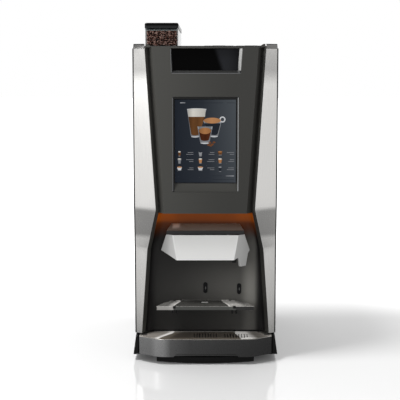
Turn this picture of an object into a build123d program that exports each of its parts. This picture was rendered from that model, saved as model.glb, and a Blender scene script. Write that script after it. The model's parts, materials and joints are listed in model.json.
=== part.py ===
from build123d import *
import os

# Tabletop bean-to-cup hot coffee vending machine.
# Millimetres. X to the right, Y to the back, Z up.
# The origin is on the floor, at the centre of the machine's footprint.

# ---------------------------------------------------------------- driving sizes
half_width = 202.5        # outside of the side skins
base_half_width = 207.5   # foot of the flared base skirt
depth_half = 293.0        # tray front and water thread end
cabinet_front = -185.0    # front plane of the cabinet, behind the door
cabinet_back = 281.0      # outside of the back panel
door_back = -190.0        # rear plane of the door
skirt_bottom = 18.0
base_top = 74.0           # top of the base, the cabinet floor sits on it
door_bottom = 78.0
body_top = 885.0          # top of the side panels
cover_top = 899.0         # top of the top cover
trim_top = 902.6          # back edge of the bright trims' sloping tops
skin = 2.0                # sheet metal thickness
wall = 2.5                # moulded plastic thickness
gap = 0.3                 # fitting gap between fixed pieces
play = 0.2                # smaller gap between fixed pieces that are screwed together
run = 0.05                # radial running clearance of a shaft in its hole
inside_half = half_width - skin - play    # half width of what stands between the side skins
rear_inside = cabinet_back - skin - play  # rear end of what is fixed inside the cabinet
panel_top = body_top - play               # upper end of the inner sheets
floor_top = base_top + 3                  # upper face of the cabinet floor

# Heights where the bright trims bend: at their inner edge, and a little higher outside
knee = 325.0
knee_out = 329.0
waist = 442.0             # here the trims come closest together
waist_out = 449.5
cap_z = 888.4             # front edge of the trims' sloping tops
cap_setback = 14.0        # how far the sloping trim tops lean back

# Door front. Each table holds (height, value) and is straight in between.
trim_out_x = 200.2
trim_out_y = ((door_bottom, -231), (knee_out, -231), (waist_out, -246), (cap_z, -246))
trim_in_x = ((door_bottom, 183), (knee, 165.2), (waist, 138.9), (cap_z, 167.7))
trim_in_y = ((door_bottom, -238), (knee, -240), (waist, -275), (cap_z, -260))
face_bottom = 432.0
face_top = 895.0
face_lean = 0.0316        # the face moves back this much per millimetre of height
lean_angle = 1.81         # the same lean in degrees
face_half_waist = 116.0
face_half_top = 147.0
rim_in = 9.0              # the rim's slanting wall: inwards, and backwards
rim_back = 17.0

# Screen and header, on the leaning face
screen_centre = 634.0
screen_half_w = 86.5
screen_half_h = 117.0
screen_recess = 7.0
header_centre = 860.0

# Alcove and dispensing head
alcove_back = -202.0
alcove_corner = 20.0
hood_top_back = 392.5
hood_top_front = 380.0
hood_bottom = 369.5
hood_front = -256.0
cover_top_z = 368.5
cover_low_z = 297.6
sensor_x = (0.0, 98.0)
sensor_z = (204.0, 201.0)

funnel_outlet = 275.0     # lower end of the hot water funnel
sensor_r = 4.6
sensor_straight = 21.0

# Fold-up cup shelf
shelf_pivot_y = -212.0
shelf_pivot_z = 164.0
shelf_top = 169.0
shelf_front = -290.0
shelf_half = 137.0
shelf_arm_x = 80.0
shelf_pin_r = 2.5
shelf_lip = 10.0          # depth of the turned-down front edge

# Drip tray
tray_bottom = 22.2
tray_top = 74.0
tray_back = -200.0
tray_half = 190.0
tray_floor = 4.0
grid_thick = 3.5
grid_back = -205.0

# Plinth and feet
plinth_half = 140.0
plinth_low = 1.5
plinth_top = 19.8
plinth_corner_y = -262.0
plinth_bow_y = -283.0
plinth_back = 250.0
foot_x = 115.0
foot_y = (-195.0, 220.0)

# Door hinge and lock
hinge_x = -195.5
hinge_y = -196.5
pin_r = 3.0
lock_y = -212.0
lock_z = 600.0
lock_r = 9.0

# Bean hopper
hopper_x = (-172.5, -78.3)
hopper_y = (-150.0, 215.0)
hopper_top = 950.0
hopper_floor = 899.2
lid_top = 965.0
neck_x = -125.0
neck_y = -40.0
neck_half = 22.0
neck_bottom = 806.0
hopper_wall = 4.0

# Powder canisters and their mixing bowls
canister_x = (39.0, 131.0)
canister_half = 39.0
canister_bottom = 600.0
canister_top = 845.0
auger_z = 620.0
auger_shaft_r = 4.0
bowl_y = -148.0
mixer_z = 505.0
mixer_shaft_r = 3.0
mixer_face = -126.0       # front face of the mixer motors
partition_y = (31.0, 33.0)

# Brewer
brew_x = -125.0
brew_y = -100.0
brew_bore_r = 25.0
drive_r = 6.0             # shafts of the grinder and of the brewing piston

# Rear compartment
boiler_x = -110.0
boiler_y = 150.0
boiler_r = 55.0
inlet_x = 130.0
inlet_z = 140.0
inlet_r = 13.2
socket_x = 50.0
socket_z = 130.0
fan_x = -110.0
fan_z = 730.0
fan_r = 58.0
fan_frame = 60.0          # half size of the square fan frame


# ---------------------------------------------------------------- small helpers
def value(table, z):
    """Straight-line value of a (height, value) table, held on past its last pair."""
    for (z0, v0), (z1, v1) in zip(table, table[1:]):
        if z <= z1:
            return v0 + (v1 - v0) * (z - z0) / (z1 - z0)
    return table[-1][1] + (v1 - v0) * (z - z1) / (z1 - z0)


def block(x, y, z):
    """Box between the pairs x, y and z."""
    centre = Pos((x[0] + x[1]) / 2, (y[0] + y[1]) / 2, (z[0] + z[1]) / 2)
    return centre * Box(x[1] - x[0], y[1] - y[0], z[1] - z[0])


def rod_x(y, z, r, x):
    return Pos((x[0] + x[1]) / 2, y, z) * Rot(0, 90, 0) * Cylinder(r, x[1] - x[0])


def rod_y(x, z, r, y):
    return Pos(x, (y[0] + y[1]) / 2, z) * Rot(90, 0, 0) * Cylinder(r, y[1] - y[0])


def rod_z(x, y, r, z):
    return Pos(x, y, (z[0] + z[1]) / 2) * Cylinder(r, z[1] - z[0])


def loft_of(*sections):
    """Solid with straight sides through closed outlines of (x, y, z) points."""
    return Solid.make_loft([Wire.make_polygon(points) for points in sections], ruled=True)


def rectangle_at(x, y, z):
    return [(x[0], y[0], z), (x[1], y[0], z), (x[1], y[1], z), (x[0], y[1], z)]


def prism_y(points, y):
    """Outline of (x, z) points, solid between the two y values."""
    face = Face(Wire.make_polygon([(px, y[0], pz) for px, pz in points]))
    return Solid.extrude(face, Vector(0, y[1] - y[0], 0))


def prism_x(points, x):
    """Outline of (y, z) points, solid between the two x values."""
    face = Face(Wire.make_polygon([(x[0], py, pz) for py, pz in points]))
    return Solid.extrude(face, Vector(x[1] - x[0], 0, 0))


def prism_z(points, z):
    """Outline of (x, y) points, solid between the two z values."""
    face = Face(Wire.make_polygon([(px, py, z[0]) for px, py in points]))
    return Solid.extrude(face, Vector(0, 0, z[1] - z[0]))


def mirrored(shape):
    return mirror(shape, about=Plane.YZ)


def both_sides(right):
    """Closed outline from the points of its right-hand half, front to back."""
    return right + [(-x, y) for x, y in reversed(right)]


def tube_along(points, bend, outer, inner):
    """Round tube that follows a bent line."""
    path = FilletPolyline(*points, radius=bend)
    start = Plane(path @ 0, z_dir=path % 0)
    ring = start * (Circle(outer) - Circle(inner))
    return sweep(ring, path=path)


def vertical_edges(shape):
    return shape.edges().filter_by(Axis.Z)


nodes = {}


def keep(name, *shapes):
    """Stores a node made of one or more separate solids."""
    solids = []
    for shape in shapes:
        solids.extend(shape.solids())
    nodes[name] = Compound(label=name, children=solids)


# ---------------------------------------------------------------- base
def base_pan():
    """Flared black skirt under the cabinet, with an open pocket for the drip tray."""
    top_half = 200.0
    thick = 4.0
    front_low, front_high = -247, -243
    pocket_back = tray_back + 3
    outer = loft_of(
        rectangle_at((-base_half_width, base_half_width), (front_low, cabinet_back + 4), skirt_bottom),
        rectangle_at((-top_half, top_half), (front_high, cabinet_back), base_top),
    )
    inner = loft_of(
        rectangle_at((-203, 203), (pocket_back + thick, cabinet_back), skirt_bottom - 1),
        rectangle_at((-195, 195), (pocket_back + thick, cabinet_back - thick), base_top - thick),
    )
    tray_room = tray_half + 3
    pocket = block((-tray_room, tray_room), (-260, pocket_back), (tray_bottom - play, base_top + 16))
    plinth_room = plinth_half + 10
    under = block((-plinth_room, plinth_room), (-260, pocket_back + 5), (10, plinth_top + play))
    return outer - inner - pocket - under


def plinth_outline(inset, z):
    x = plinth_half - inset
    corner = plinth_corner_y + inset
    back = plinth_back - inset
    front = Edge.make_three_point_arc((-x, corner, z), (0, plinth_bow_y + inset, z), (x, corner, z))
    rest = Wire.make_polygon([(x, corner, z), (x, back, z), (-x, back, z), (-x, corner, z)], close=False)
    return Face(Wire([front] + list(rest.edges())))


def plinth():
    """Set-back stand with a bowed front. It hangs just clear of the floor."""
    thick = 3
    roof = 2
    height = plinth_top - plinth_low
    outer = Solid.extrude(plinth_outline(0, plinth_low), Vector(0, 0, height))
    inner = Solid.extrude(plinth_outline(thick, plinth_low - 1), Vector(0, 0, height - roof))
    return outer - inner


def levelling_feet():
    """Four round feet, each with its threaded stem."""
    pad_top = 8
    feet = []
    for x in (-foot_x, foot_x):
        for y in foot_y:
            pad = fillet(rod_z(x, y, 20, (0, pad_top)).edges().sort_by(Axis.Z)[-1:], 2)
            feet.append(pad + rod_z(x, y, 6, (pad_top, plinth_top - 3)))
    return feet


def tray_outline(z, inset=0.0):
    """Outline of the drip tray: bowed front, rounded corners, swept-back sides."""
    front_y = -depth_half + inset
    turn_x = 118 - 0.3 * inset
    end_x = 146 - 0.55 * inset
    end_y = -282.7 + 0.9 * inset
    side_x = tray_half - inset
    side_y = -256.3 + 0.6 * inset
    back = tray_back - inset

    def arc(first, middle, last):
        return Edge.make_three_point_arc((*first, z), (*middle, z), (*last, z))

    corner = (132.5 - 0.4 * inset, front_y + 4.4)
    front = arc((-turn_x, front_y + 2), (0, front_y), (turn_x, front_y + 2))
    right = arc((turn_x, front_y + 2), corner, (end_x, end_y))
    left = arc((-end_x, end_y), (-corner[0], corner[1]), (-turn_x, front_y + 2))
    corners = [(end_x, end_y, z), (side_x, side_y, z), (side_x, back, z), (-side_x, back, z)]
    corners += [(-side_x, side_y, z), (-end_x, end_y, z)]
    rest = Wire.make_polygon(corners, close=False)
    return Face(Wire([front, right] + list(rest.edges()) + [left]))


def grid_window(spare, z):
    """Area under the alcove, where the grid can be lifted straight up."""
    leg_front = -249 + spare
    leg_half = 168 + spare
    right = [(188, -300), (188, leg_front), (leg_half, leg_front), (leg_half, -226)]
    right += [(148 + spare, grid_back + spare)]
    return prism_z(both_sides(right), z)


def tray_hollow(inset, spare, z):
    return Solid.extrude(tray_outline(z[0], inset), Vector(0, 0, z[1] - z[0])) & grid_window(spare, z)


def drip_tray():
    """Pull-out tray with a basin, a ledge for the grid and a finger notch under its front."""
    seat = tray_top - grid_thick
    body = Solid.extrude(tray_outline(tray_bottom), Vector(0, 0, tray_top - tray_bottom))
    body -= tray_hollow(4, 0.5, (seat, tray_top + 1))
    body -= tray_hollow(9, -5, (tray_bottom + tray_floor, seat + 1))
    finger_notch = [(-92, 20), (-84, 30), (88, 30), (96, 20)]
    return body - prism_y(finger_notch, (-300, -281))


def drip_grid():
    """Lift-out grid: slots below each cup place, and a slightly sunk middle field."""
    seat = tray_top - grid_thick
    plate = tray_hollow(4.5, 0, (seat, tray_top))
    sunk_field = both_sides([(126, -300), (88, -200)])
    plate -= prism_z(sunk_field, (tray_top - 0.8, tray_top + 1))
    slot_half = 1.2
    slot_pitch = 8
    for centre in sensor_x:
        for step in range(-4, 5):
            x = centre * 0.9 + step * slot_pitch
            plate -= block((x - slot_half, x + slot_half), (-268, -222), (seat - 1, tray_top + 1))
    return plate


# ---------------------------------------------------------------- cabinet casing
def chassis():
    """Floor, front ring and partition with its two shelves, welded together."""
    floor = block((-inside_half, inside_half), (cabinet_front, rear_inside), (base_top, floor_top))
    front = (cabinet_front, cabinet_front + 3)
    through_front = (front[0] - 1, front[1] + 1)
    ring = block((-inside_half, inside_half), front, (base_top, panel_top))
    ring -= block((-172, 172), through_front, (100, 860))
    ring -= block((186, inside_half + 0.1), through_front, (lock_z - 9, lock_z + 28))
    return floor + ring + partition()


def partition():
    """Sheet between the front and rear compartments, with its cut-outs and two shelves."""
    through = (partition_y[0] - 1, partition_y[1] + 1)
    sheet = block((-inside_half, inside_half), partition_y, (base_top, panel_top))
    for x in canister_x:
        sheet -= rod_y(x, auger_z, auger_shaft_r + 3, through)
    funnel_pass = block((-176, -74), through, (790, 900))
    hose_pass = block((-60, 60), through, (340, 460))
    shelf_back = partition_y[0] + 1
    canister_shelf = block((-2, 172), (-162, shelf_back), (596.3, canister_bottom - gap))
    mixer_shelf = block((10, 160), (-132, shelf_back), (477.5, mixer_z - 24.2))
    return sheet - funnel_pass - hose_pass + canister_shelf + mixer_shelf


def side_panel(side):
    """Side skin with a screw lip inside its rear edge."""
    x = sorted((side * (half_width - skin), side * half_width))
    panel = block(x, (cabinet_front, cabinet_back), (base_top, body_top))
    inside = sorted((side * (half_width - skin - 10), side * (half_width - skin)))
    lip = block(inside, (rear_inside - skin, rear_inside), (base_top + 4, body_top - 1))
    return panel + lip


def vent_slots(x, z, y):
    """Nine level air slots, the lowest at height z."""
    length = 110
    pitch = 10
    height = 4
    lows = [z + step * pitch for step in range(9)]
    return [block((x - length / 2, x + length / 2), y, (low, low + height)) for low in lows]


def fan_grille(y):
    """Air openings of the fan: a round hole less five level bars and an upright one."""
    bar = 2
    opening = rod_y(fan_x, fan_z, fan_r - 4, y)
    for step in range(-2, 3):
        z = fan_z + step * 20
        opening -= block((fan_x - fan_frame, fan_x + fan_frame), y, (z - bar, z + bar))
    return opening - block((fan_x - bar, fan_x + bar), y, (fan_z - fan_frame, fan_z + fan_frame))


def back_panel():
    """Rear sheet with vents, fan grille, and openings for the water and mains inlets."""
    y = (cabinet_back - skin, cabinet_back)
    through = (y[0] - 1, y[1] + 1)
    panel = block((-inside_half, inside_half), y, (base_top, panel_top))
    for slot in vent_slots(110, 330, through) + vent_slots(-110, 200, through):
        panel -= slot
    panel -= fan_grille(through)
    panel -= rod_y(inlet_x, inlet_z, inlet_r + 9, through)
    panel -= block((socket_x - 14.5, socket_x + 14.5), through, (socket_z - 12.5, socket_z + 12.5))
    return panel


def top_cover():
    """Shallow lid of the cabinet with the opening for the bean hopper."""
    thick = 3
    corner = 12
    shell = block((-half_width, half_width), (cabinet_front, cabinet_back), (body_top, cover_top))
    shell = fillet(vertical_edges(shell).sort_by(Axis.Y)[-2:], corner)
    shell = fillet(shell.edges().group_by(Axis.Z)[-1], thick)
    inside_x = half_width - thick
    inside_y = (cabinet_front + thick, cabinet_back - thick)
    hollow = block((-inside_x, inside_x), inside_y, (body_top - 1, cover_top - thick))
    hollow = fillet(vertical_edges(hollow).sort_by(Axis.Y)[-2:], corner - thick)
    opening_x = (hopper_x[0] + 4, hopper_x[1] - 4.2)
    opening_y = (hopper_y[0] + 4, hopper_y[1] - 4)
    return shell - hollow - block(opening_x, opening_y, (body_top - 1, cover_top + 1))


def hinge_brackets():
    """Cabinet plates that carry the two door pins."""
    thick = 3
    high = 891
    plate_x = (-200.2, -180)
    plate_y = (hinge_y - 5.5, cabinet_front - play)
    low_plate = block(plate_x, plate_y, (base_top, floor_top))
    low_pin = rod_z(hinge_x, hinge_y, pin_r, (floor_top, base_top + 16))
    high_plate = block(plate_x, plate_y, (high, high + thick))
    high_pin = rod_z(hinge_x, hinge_y, pin_r, (high - 11, high))
    return [low_plate + low_pin, high_plate + high_pin]


# ---------------------------------------------------------------- door
def face_y(z):
    return -275 + (z - waist) * face_lean


def on_face(shape, z):
    """Puts a shape made upright at the origin onto the leaning door face at height z."""
    return Pos(0, face_y(z), z) * Rot(-lean_angle, 0, 0) * shape


def trim(side):
    """Bright folded side trim: leaning upper band, underside fold, lower leg."""
    def section(out_z, in_z, back):
        rear = back * cap_setback
        outer = (side * trim_out_x, value(trim_out_y, out_z - rear) + rear, out_z)
        inner = (side * value(trim_in_x, in_z), value(trim_in_y, in_z - rear) + rear, in_z)
        return [outer, inner, (inner[0], inner[1] + skin, in_z), (outer[0], outer[1] + skin, out_z)]

    edges = [section(door_bottom, door_bottom, 0), section(knee_out, knee, 0), section(waist_out, waist, 0)]
    edges += [section(cap_z, cap_z, 0), section(trim_top, trim_top, 1)]
    return loft_of(*edges)


def rim_points(z):
    """Front edge and groove bottom of the rim beside the trims, on the right-hand side."""
    front = (value(trim_in_x, z) - 2, value(trim_in_y, z) + 1)
    groove = (value(trim_in_x, z) - rim_in, value(trim_in_y, z) + rim_back)
    return front, groove


def shell_section(z):
    front, groove = rim_points(z)
    share = (z - waist) / (face_top - waist)
    face_half = face_half_waist + (face_half_top - face_half_waist) * share
    face = (face_half, face_y(z))
    outside = [front, groove, face]
    inside = [(face_half - 1, face[1] + 3), (groove[0] + 0.5, groove[1] + 3)]
    inside += [(front[0] + 1.7, front[1] + 3)]
    right = [(x, y, z) for x, y in outside]
    left = [(-x, y, z) for x, y in reversed(outside)]
    left_in = [(-x, y, z) for x, y in reversed(inside)]
    right_in = [(x, y, z) for x, y in inside]
    return right + left + left_in + right_in


def leg_section(z):
    front, groove = rim_points(z)
    back = (groove[0] + 2.2, groove[1])
    outer = (front[0] + 1.7, front[1] + 3)
    return [(front[0], front[1], z), (groove[0], groove[1], z), (*back, z), (*outer, z)]


def header_opening(grow, y):
    points = [(-94 - grow, -38 - grow), (98 + grow, -38 - grow)]
    points += [(103 + grow, 30 + grow), (-96.5 - grow, 30 + grow)]
    return on_face(prism_y(points, y), header_centre)


def door_shell():
    """Dark moulded door front: leaning face, V-shaped side grooves, rims down both legs."""
    upper = loft_of(shell_section(face_bottom), shell_section(waist), shell_section(face_top))
    leg = loft_of(leg_section(door_bottom), leg_section(knee), leg_section(face_bottom + 0.01))
    shell = upper + leg + mirrored(leg)
    roof = block((-150, 150), (-259, door_back - 2.5), (face_top - 3, face_top))
    shell += roof
    corner = prism_y([(146, 893), (160, 902), (165.6, 902), (165.6, 893)], (-256, -243))
    shell += corner + mirrored(corner)
    screen_hole = block((-92, 92), (-5, 20), (-142.3, 123.3))
    shell -= on_face(screen_hole, screen_centre)
    shell -= header_opening(gap, (-5, 20))
    return shell


def door_frame():
    """Steel pan behind the door front: side skins, top, bottom and rear sheet."""
    top = 890.0
    low_y, high_y = -231.5, -246.5
    side_profile = [(door_back, door_bottom), (low_y, door_bottom), (low_y, knee_out)]
    side_profile += [(high_y, waist_out), (high_y, cap_z), (-245, top), (door_back, top)]
    side = prism_x(side_profile, (half_width - skin, half_width))
    sheet_x = (-201, 201)
    rail_z = (door_bottom, door_bottom + skin)
    top_plate = block(sheet_x, (-237, door_back), (top - skin, top))
    low_rail = block(sheet_x, (-198, door_back), rail_z)
    tab = block((182, sheet_x[1]), (-228, door_back), rail_z)
    through = (door_back - 5, door_back + 1)
    rear = block(sheet_x, (door_back - skin, door_back), (door_bottom, top))
    hose_pass = block((-70, 70), through, (352, 425))
    cable_pass = block((-75, 75), through, (540, 730))
    rear = rear - hose_pass - cable_pass
    frame = side + mirrored(side) + top_plate + rear + low_rail + tab + mirrored(tab)
    for z in ((door_bottom - 1, door_bottom + 15), (878, top + 1)):
        frame -= rod_z(hinge_x, hinge_y, pin_r + run, z)
    frame -= rod_x(lock_y, lock_z, lock_r + run, (half_width - 3.5, half_width + 1.5))
    return frame - block((190, 200.4), through, (lock_z - 9, lock_z + 38))


def lock_cylinder():
    """Key cylinder in the door's right-hand edge, with its cam pointing up when unlocked."""
    barrel = rod_x(lock_y, lock_z, lock_r, (194, 204.5))
    barrel -= block((203.5, 205), (lock_y - 1, lock_y + 1), (lock_z - 4.5, lock_z + 4.5))
    cam = block((191, 194), (lock_y - 6, lock_y + 6), (lock_z - 6, lock_z + 32))
    nut = rod_x(lock_y, lock_z, 13, (196.5, 199.7))
    return barrel + cam + nut


def alcove_outline(z, grow, front_shift):
    """Closed outline of the alcove at one height: open front line, round corners, flat back."""
    _, groove = rim_points(z)
    x = groove[0] + grow
    front = groove[1] + gap + front_shift
    radius = alcove_corner + grow
    back = alcove_back + grow
    turn = back - radius
    mid_x = x - radius * (1 - 0.7071)
    mid_y = turn + radius * 0.7071
    edges = [
        Edge.make_line((-x, front, z), (x, front, z)),
        Edge.make_line((x, front, z), (x, turn, z)),
        Edge.make_three_point_arc((x, turn, z), (mid_x, mid_y, z), (x - radius, back, z)),
        Edge.make_line((x - radius, back, z), (radius - x, back, z)),
        Edge.make_three_point_arc((radius - x, back, z), (-mid_x, mid_y, z), (-x, turn, z)),
        Edge.make_line((-x, turn, z), (-x, front, z)),
    ]
    return Wire(edges)


def alcove_liner():
    """Moulded U-shaped niche wall with a flat ceiling and two sensor windows."""
    levels = (door_bottom, knee, face_bottom)
    outer = Solid.make_loft([alcove_outline(z, wall, 0) for z in levels], ruled=True)
    cut_levels = (door_bottom - 1, knee, face_bottom + 1)
    inner = Solid.make_loft([alcove_outline(z, 0, -2) for z in cut_levels], ruled=True)
    through = (alcove_back - 1, alcove_back + wall + 1)
    liner = outer - inner
    ceiling = both_sides([(106, -268), (133, -248), (133, alcove_back + wall)])
    liner += prism_z(ceiling, (face_bottom - 1, face_bottom + 3))
    for x, z in zip(sensor_x, sensor_z):
        liner -= sensor_window(x, z, sensor_r + 0.1, through)
    hose_pass = block((-66, 66), through, (355, 388))
    return liner - hose_pass


def sensor_window(x, z, r, y):
    """Upright slot with round ends."""
    low = z - sensor_straight / 2
    high = z + sensor_straight / 2
    return block((x - r, x + r), y, (low, high)) + rod_y(x, low, r, y) + rod_y(x, high, r, y)


def sensor_lenses():
    y = (alcove_back - 1.2, alcove_back + wall)
    return [sensor_window(x, z, sensor_r, y) for x, z in zip(sensor_x, sensor_z)]


def screen_bezel():
    """Frame round the glass. Its bottom rail slopes from the face down to the glass."""
    frame = block((-91.7, 91.7), (0.2, 12), (-142, 123))
    frame -= block((-screen_half_w - 0.3, screen_half_w + 0.3), (-1, screen_recess + 3.2), (-117.3, 117.3))
    frame -= block((-82.5, 82.5), (0, 13), (-113, 113))
    slope = [(-1, -140.5), (screen_recess, -117.3), (-1, -117.3)]
    frame -= prism_x(slope, (-screen_half_w - 0.3, screen_half_w + 0.3))
    return on_face(frame, screen_centre)


def touch_glass():
    z = (-screen_half_h, screen_half_h)
    glass = block((-screen_half_w, screen_half_w), (screen_recess, screen_recess + 3), z)
    return on_face(fillet(glass.edges().filter_by(Axis.Y), 2), screen_centre)


def display_module():
    panel = block((-82, 82), (screen_recess + 3.2, 30), (-112.5, 112.5))
    board = block((-60, 60), (30, 36), (-80, 80))
    return on_face(panel + board, screen_centre)


def header_bezel():
    """Shallow frame of the header recess. Its right-hand wall is a wide slanting bar."""
    ring = header_opening(0, (0.2, 12))
    inner = [(-90, -30.5), (90.5, -30.5), (93, 29.3), (-92.7, 29.3)]
    ring -= on_face(prism_y(inner, (-1, 13)), header_centre)
    front_cut = [(-96, -36.5), (97, -36.5), (102, 29.3), (-95.5, 29.3)]
    depth = 6.0
    near = [(x, -1.0, z) for x, z in front_cut]
    far = [(x, depth, z) for x, z in inner]
    taper = Solid.make_loft([Wire.make_polygon(near), Wire.make_polygon(far)], ruled=True)
    return ring - on_face(taper, header_centre)


def header_panel():
    points = [(-89.7, -30.2), (90.2, -30.2), (92.7, 29), (-92.4, 29)]
    return on_face(prism_y(points, (7, 11)), header_centre)


def led_strip():
    return block((-105, 105), (alcove_back - 12, alcove_back - 4), (face_bottom - 7, face_bottom - 1.1))


def spout_hood():
    """Dark hood over the outlets, on the alcove's back wall."""
    back_y = alcove_back - gap
    back = [(-98, back_y, hood_bottom), (98, back_y, hood_bottom)]
    back += [(98, back_y, hood_top_back), (-98, back_y, hood_top_back)]
    front = [(-110, hood_front, hood_bottom), (110, hood_front, hood_bottom)]
    front += [(110, hood_front, hood_top_front), (-110, hood_front, hood_top_front)]
    roof = loft_of(back, front)
    carrier = block((-60, 60), (-250, back_y), (330, hood_bottom))
    rear_ports = block((-64, 64), (back_y, alcove_back + 9), (357, 386))
    hood = roof + carrier + rear_ports
    for x in (-40, 0, 40):
        hood -= rod_y(x, 371, 6.4, (alcove_back + 3, alcove_back + 10))
    return hood


def coffee_outlet():
    """Two-spout coffee outlet under the hood."""
    body = block((-30, 30), (-248, -222), (318, 329.8))
    for x in (-14, 14):
        body += rod_z(x, -235, 7, (301, 318.5))
        body -= rod_z(x, -235, 4.5, (300, 322))
    return fillet(body.edges().filter_by(Axis.Z).group_by(SortBy.LENGTH)[0], 1)


def cover_section(z, inset):
    """Plan outline of the spout cover at one height: flat front, swept-back sides."""
    drop = (cover_top_z - z) / (cover_top_z - cover_low_z)
    side_x = 111 + 23 * drop - inset * 0.9
    side_y = -246 + 31.6 * drop + inset * 0.3
    front_x = 93 - 12 * drop - inset * 0.3
    front = -264 - 4 * drop + inset
    right = [(front_x, front, z), (side_x, side_y, z)]
    left = [(-side_x, side_y, z), (-front_x, front, z)]
    return right, left


def cover_sheet(z):
    right, left = cover_section(z, 0)
    in_right, in_left = cover_section(z, 3)
    return left + right + list(reversed(in_right)) + list(reversed(in_left))


def spout_cover():
    """Satin white pull-off cover with the tapered hot water funnel at its right."""
    sheet = loft_of(cover_sheet(cover_top_z), cover_sheet(funnel_outlet - 5))
    fold_x = 81
    outline = [(-111, 370), (111, 370), (127, 319), (122, 311), (116, funnel_outlet)]
    outline += [(101, funnel_outlet), (93, 303), (fold_x, cover_low_z), (-fold_x, cover_low_z), (-127, 319)]
    cover = sheet & prism_y(outline, (-280, -190))
    grip_groove = block((-88, 88), (-265.6, -264), (362.6, 363.6))
    return cover + water_funnel() - water_funnel_bore() - grip_groove


def water_funnel():
    top_z = 322
    top = [(94, -257.0, top_z), (122, -229.5, top_z), (116, -223, top_z), (88, -250.5, top_z)]
    low = [(101, -245.1), (115.6, -230.7), (110, -225.3), (95.4, -239.7)]
    return loft_of(top, [(x, y, funnel_outlet) for x, y in low])


def water_funnel_bore():
    top_z = 324
    top = [(95, -249.5, top_z), (116, -229.3, top_z), (113, -226, top_z), (92, -246.2, top_z)]
    low = [(101, -241.6), (112, -230.8), (109, -228), (98, -238.8)]
    return loft_of(top, [(x, y, funnel_outlet - 1) for x, y in low])


def water_nozzle():
    """Hot water tip and its clip, held by the carrier behind the cover."""
    arm = block((61, 88), (-246, -236), (334, 344))
    stem = rod_z(82, -241, 5, (288, 340))
    clip = block((76, 88), (-245, -237), (286, 296))
    return arm + stem + clip - rod_z(82, -241, 2.5, (285, 330))


def shelf_brackets():
    """Wall brackets of the cup shelf with their hinge pins."""
    foot = 140
    back = alcove_back - gap
    profile = [(back, foot), (back, 166), (-213, 167.2), (-217, 166), (-217, 160), (-208, foot)]
    made = []
    for side in (-1, 1):
        x = side * shelf_arm_x
        cheeks = prism_x(profile, (x - 10, x - 6)) + prism_x(profile, (x + 6, x + 10))
        web = block((x - 10, x + 10), (alcove_back - 3, back), (foot, foot + 18))
        made.append(cheeks + web + rod_x(shelf_pivot_y, shelf_pivot_z, shelf_pin_r, (x - 10, x + 10)))
    return made


def shelf_outline():
    """Plan of the shelf: straight front, sides swept in, notches round the two arms."""
    arm_room = (shelf_arm_x - 12, shelf_arm_x + 12)
    right = [(shelf_half, shelf_front), (shelf_half + 1, shelf_front + 5), (shelf_half - 6, -270)]
    right += [(120, -246), (104, -224), (arm_room[1], -213), (arm_room[1], -220)]
    right += [(arm_room[0], -220), (arm_room[0], -206)]
    return both_sides(right)


def shelf_arm(x):
    """Hinge arm under the shelf, ending in an eye for the pin."""
    low = shelf_pivot_z - 4.5
    arm = block((x - 5.5, x + 5.5), (-262, shelf_pivot_y), (low, shelf_top - 2))
    arm -= block((x - 6, x + 6), (-214, -205), (shelf_pivot_z + 4.4, shelf_top + 1))
    return arm + rod_x(shelf_pivot_y, shelf_pivot_z, 4.5, (x - 5.5, x + 5.5))


def cup_shelf():
    """Fold-up cup shelf: polished plate, turned-down front lip and two hinge arms."""
    plate = prism_z(shelf_outline(), (shelf_top - 2.5, shelf_top))
    lip_y = (shelf_front, shelf_front + 3)
    lip = block((-shelf_half, shelf_half), lip_y, (shelf_top - shelf_lip, shelf_top - 2))
    sunk_field = both_sides([(84, -285.5), (60, -204)])
    shelf = plate + lip - prism_z(sunk_field, (shelf_top - 0.7, shelf_top + 1))
    for x in (-88, 82):
        shelf -= block((x - 4, x + 4), (shelf_front - 1, shelf_front + 8), (shelf_top - 5, shelf_top + 1))
    shelf += shelf_arm(-shelf_arm_x) + shelf_arm(shelf_arm_x)
    for x in (-shelf_arm_x, shelf_arm_x):
        shelf -= rod_x(shelf_pivot_y, shelf_pivot_z, shelf_pin_r + run, (x - 7, x + 7))
    return shelf


# ---------------------------------------------------------------- bean hopper
def bean_hopper():
    """Clear hopper: straight box above the cover, funnel and slotted neck inside."""
    throat_x = (neck_x - neck_half, neck_x + neck_half)
    throat_y = (neck_y - neck_half, neck_y + neck_half)
    box = block(hopper_x, hopper_y, (hopper_floor, hopper_top))
    box = fillet(vertical_edges(box), 5)
    collar_x = (-166.5, -84.5)
    collar_y = (-144, 209)
    funnel = loft_of(
        rectangle_at(collar_x, collar_y, hopper_floor + 0.01),
        rectangle_at(collar_x, collar_y, 880),
        rectangle_at(throat_x, throat_y, 822),
        rectangle_at(throat_x, throat_y, neck_bottom),
    )
    room = block((-170, -80.8), (-147.5, 212.5), (hopper_floor + wall, hopper_top + 1))
    room = fillet(vertical_edges(room), 3)
    bore_x = (throat_x[0] + hopper_wall, throat_x[1] - hopper_wall)
    bore_y = (throat_y[0] + hopper_wall, throat_y[1] - hopper_wall)
    mouth_x = (collar_x[0] + wall, collar_x[1] - wall)
    mouth_y = (collar_y[0] + wall, collar_y[1] - wall)
    inside = loft_of(
        rectangle_at(mouth_x, mouth_y, hopper_floor + 3),
        rectangle_at(mouth_x, mouth_y, 881),
        rectangle_at(bore_x, bore_y, 823),
        rectangle_at(bore_x, bore_y, neck_bottom - 1),
    )
    slot = block((neck_x - 20.2, neck_x + 20.2), (throat_y[0] - 1, throat_y[1] - 1.8), (810, 813))
    return box + funnel - room - inside - slot


def hopper_gate():
    """Slide that shuts the hopper neck when it is pushed in."""
    blade = block((neck_x - 19.9, neck_x + 19.9), (-88, neck_y + neck_half - 2.5), (810.3, 812.7))
    blade += block((neck_x - 12, neck_x + 12), (-92, -88), (804, 819))
    return blade


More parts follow.
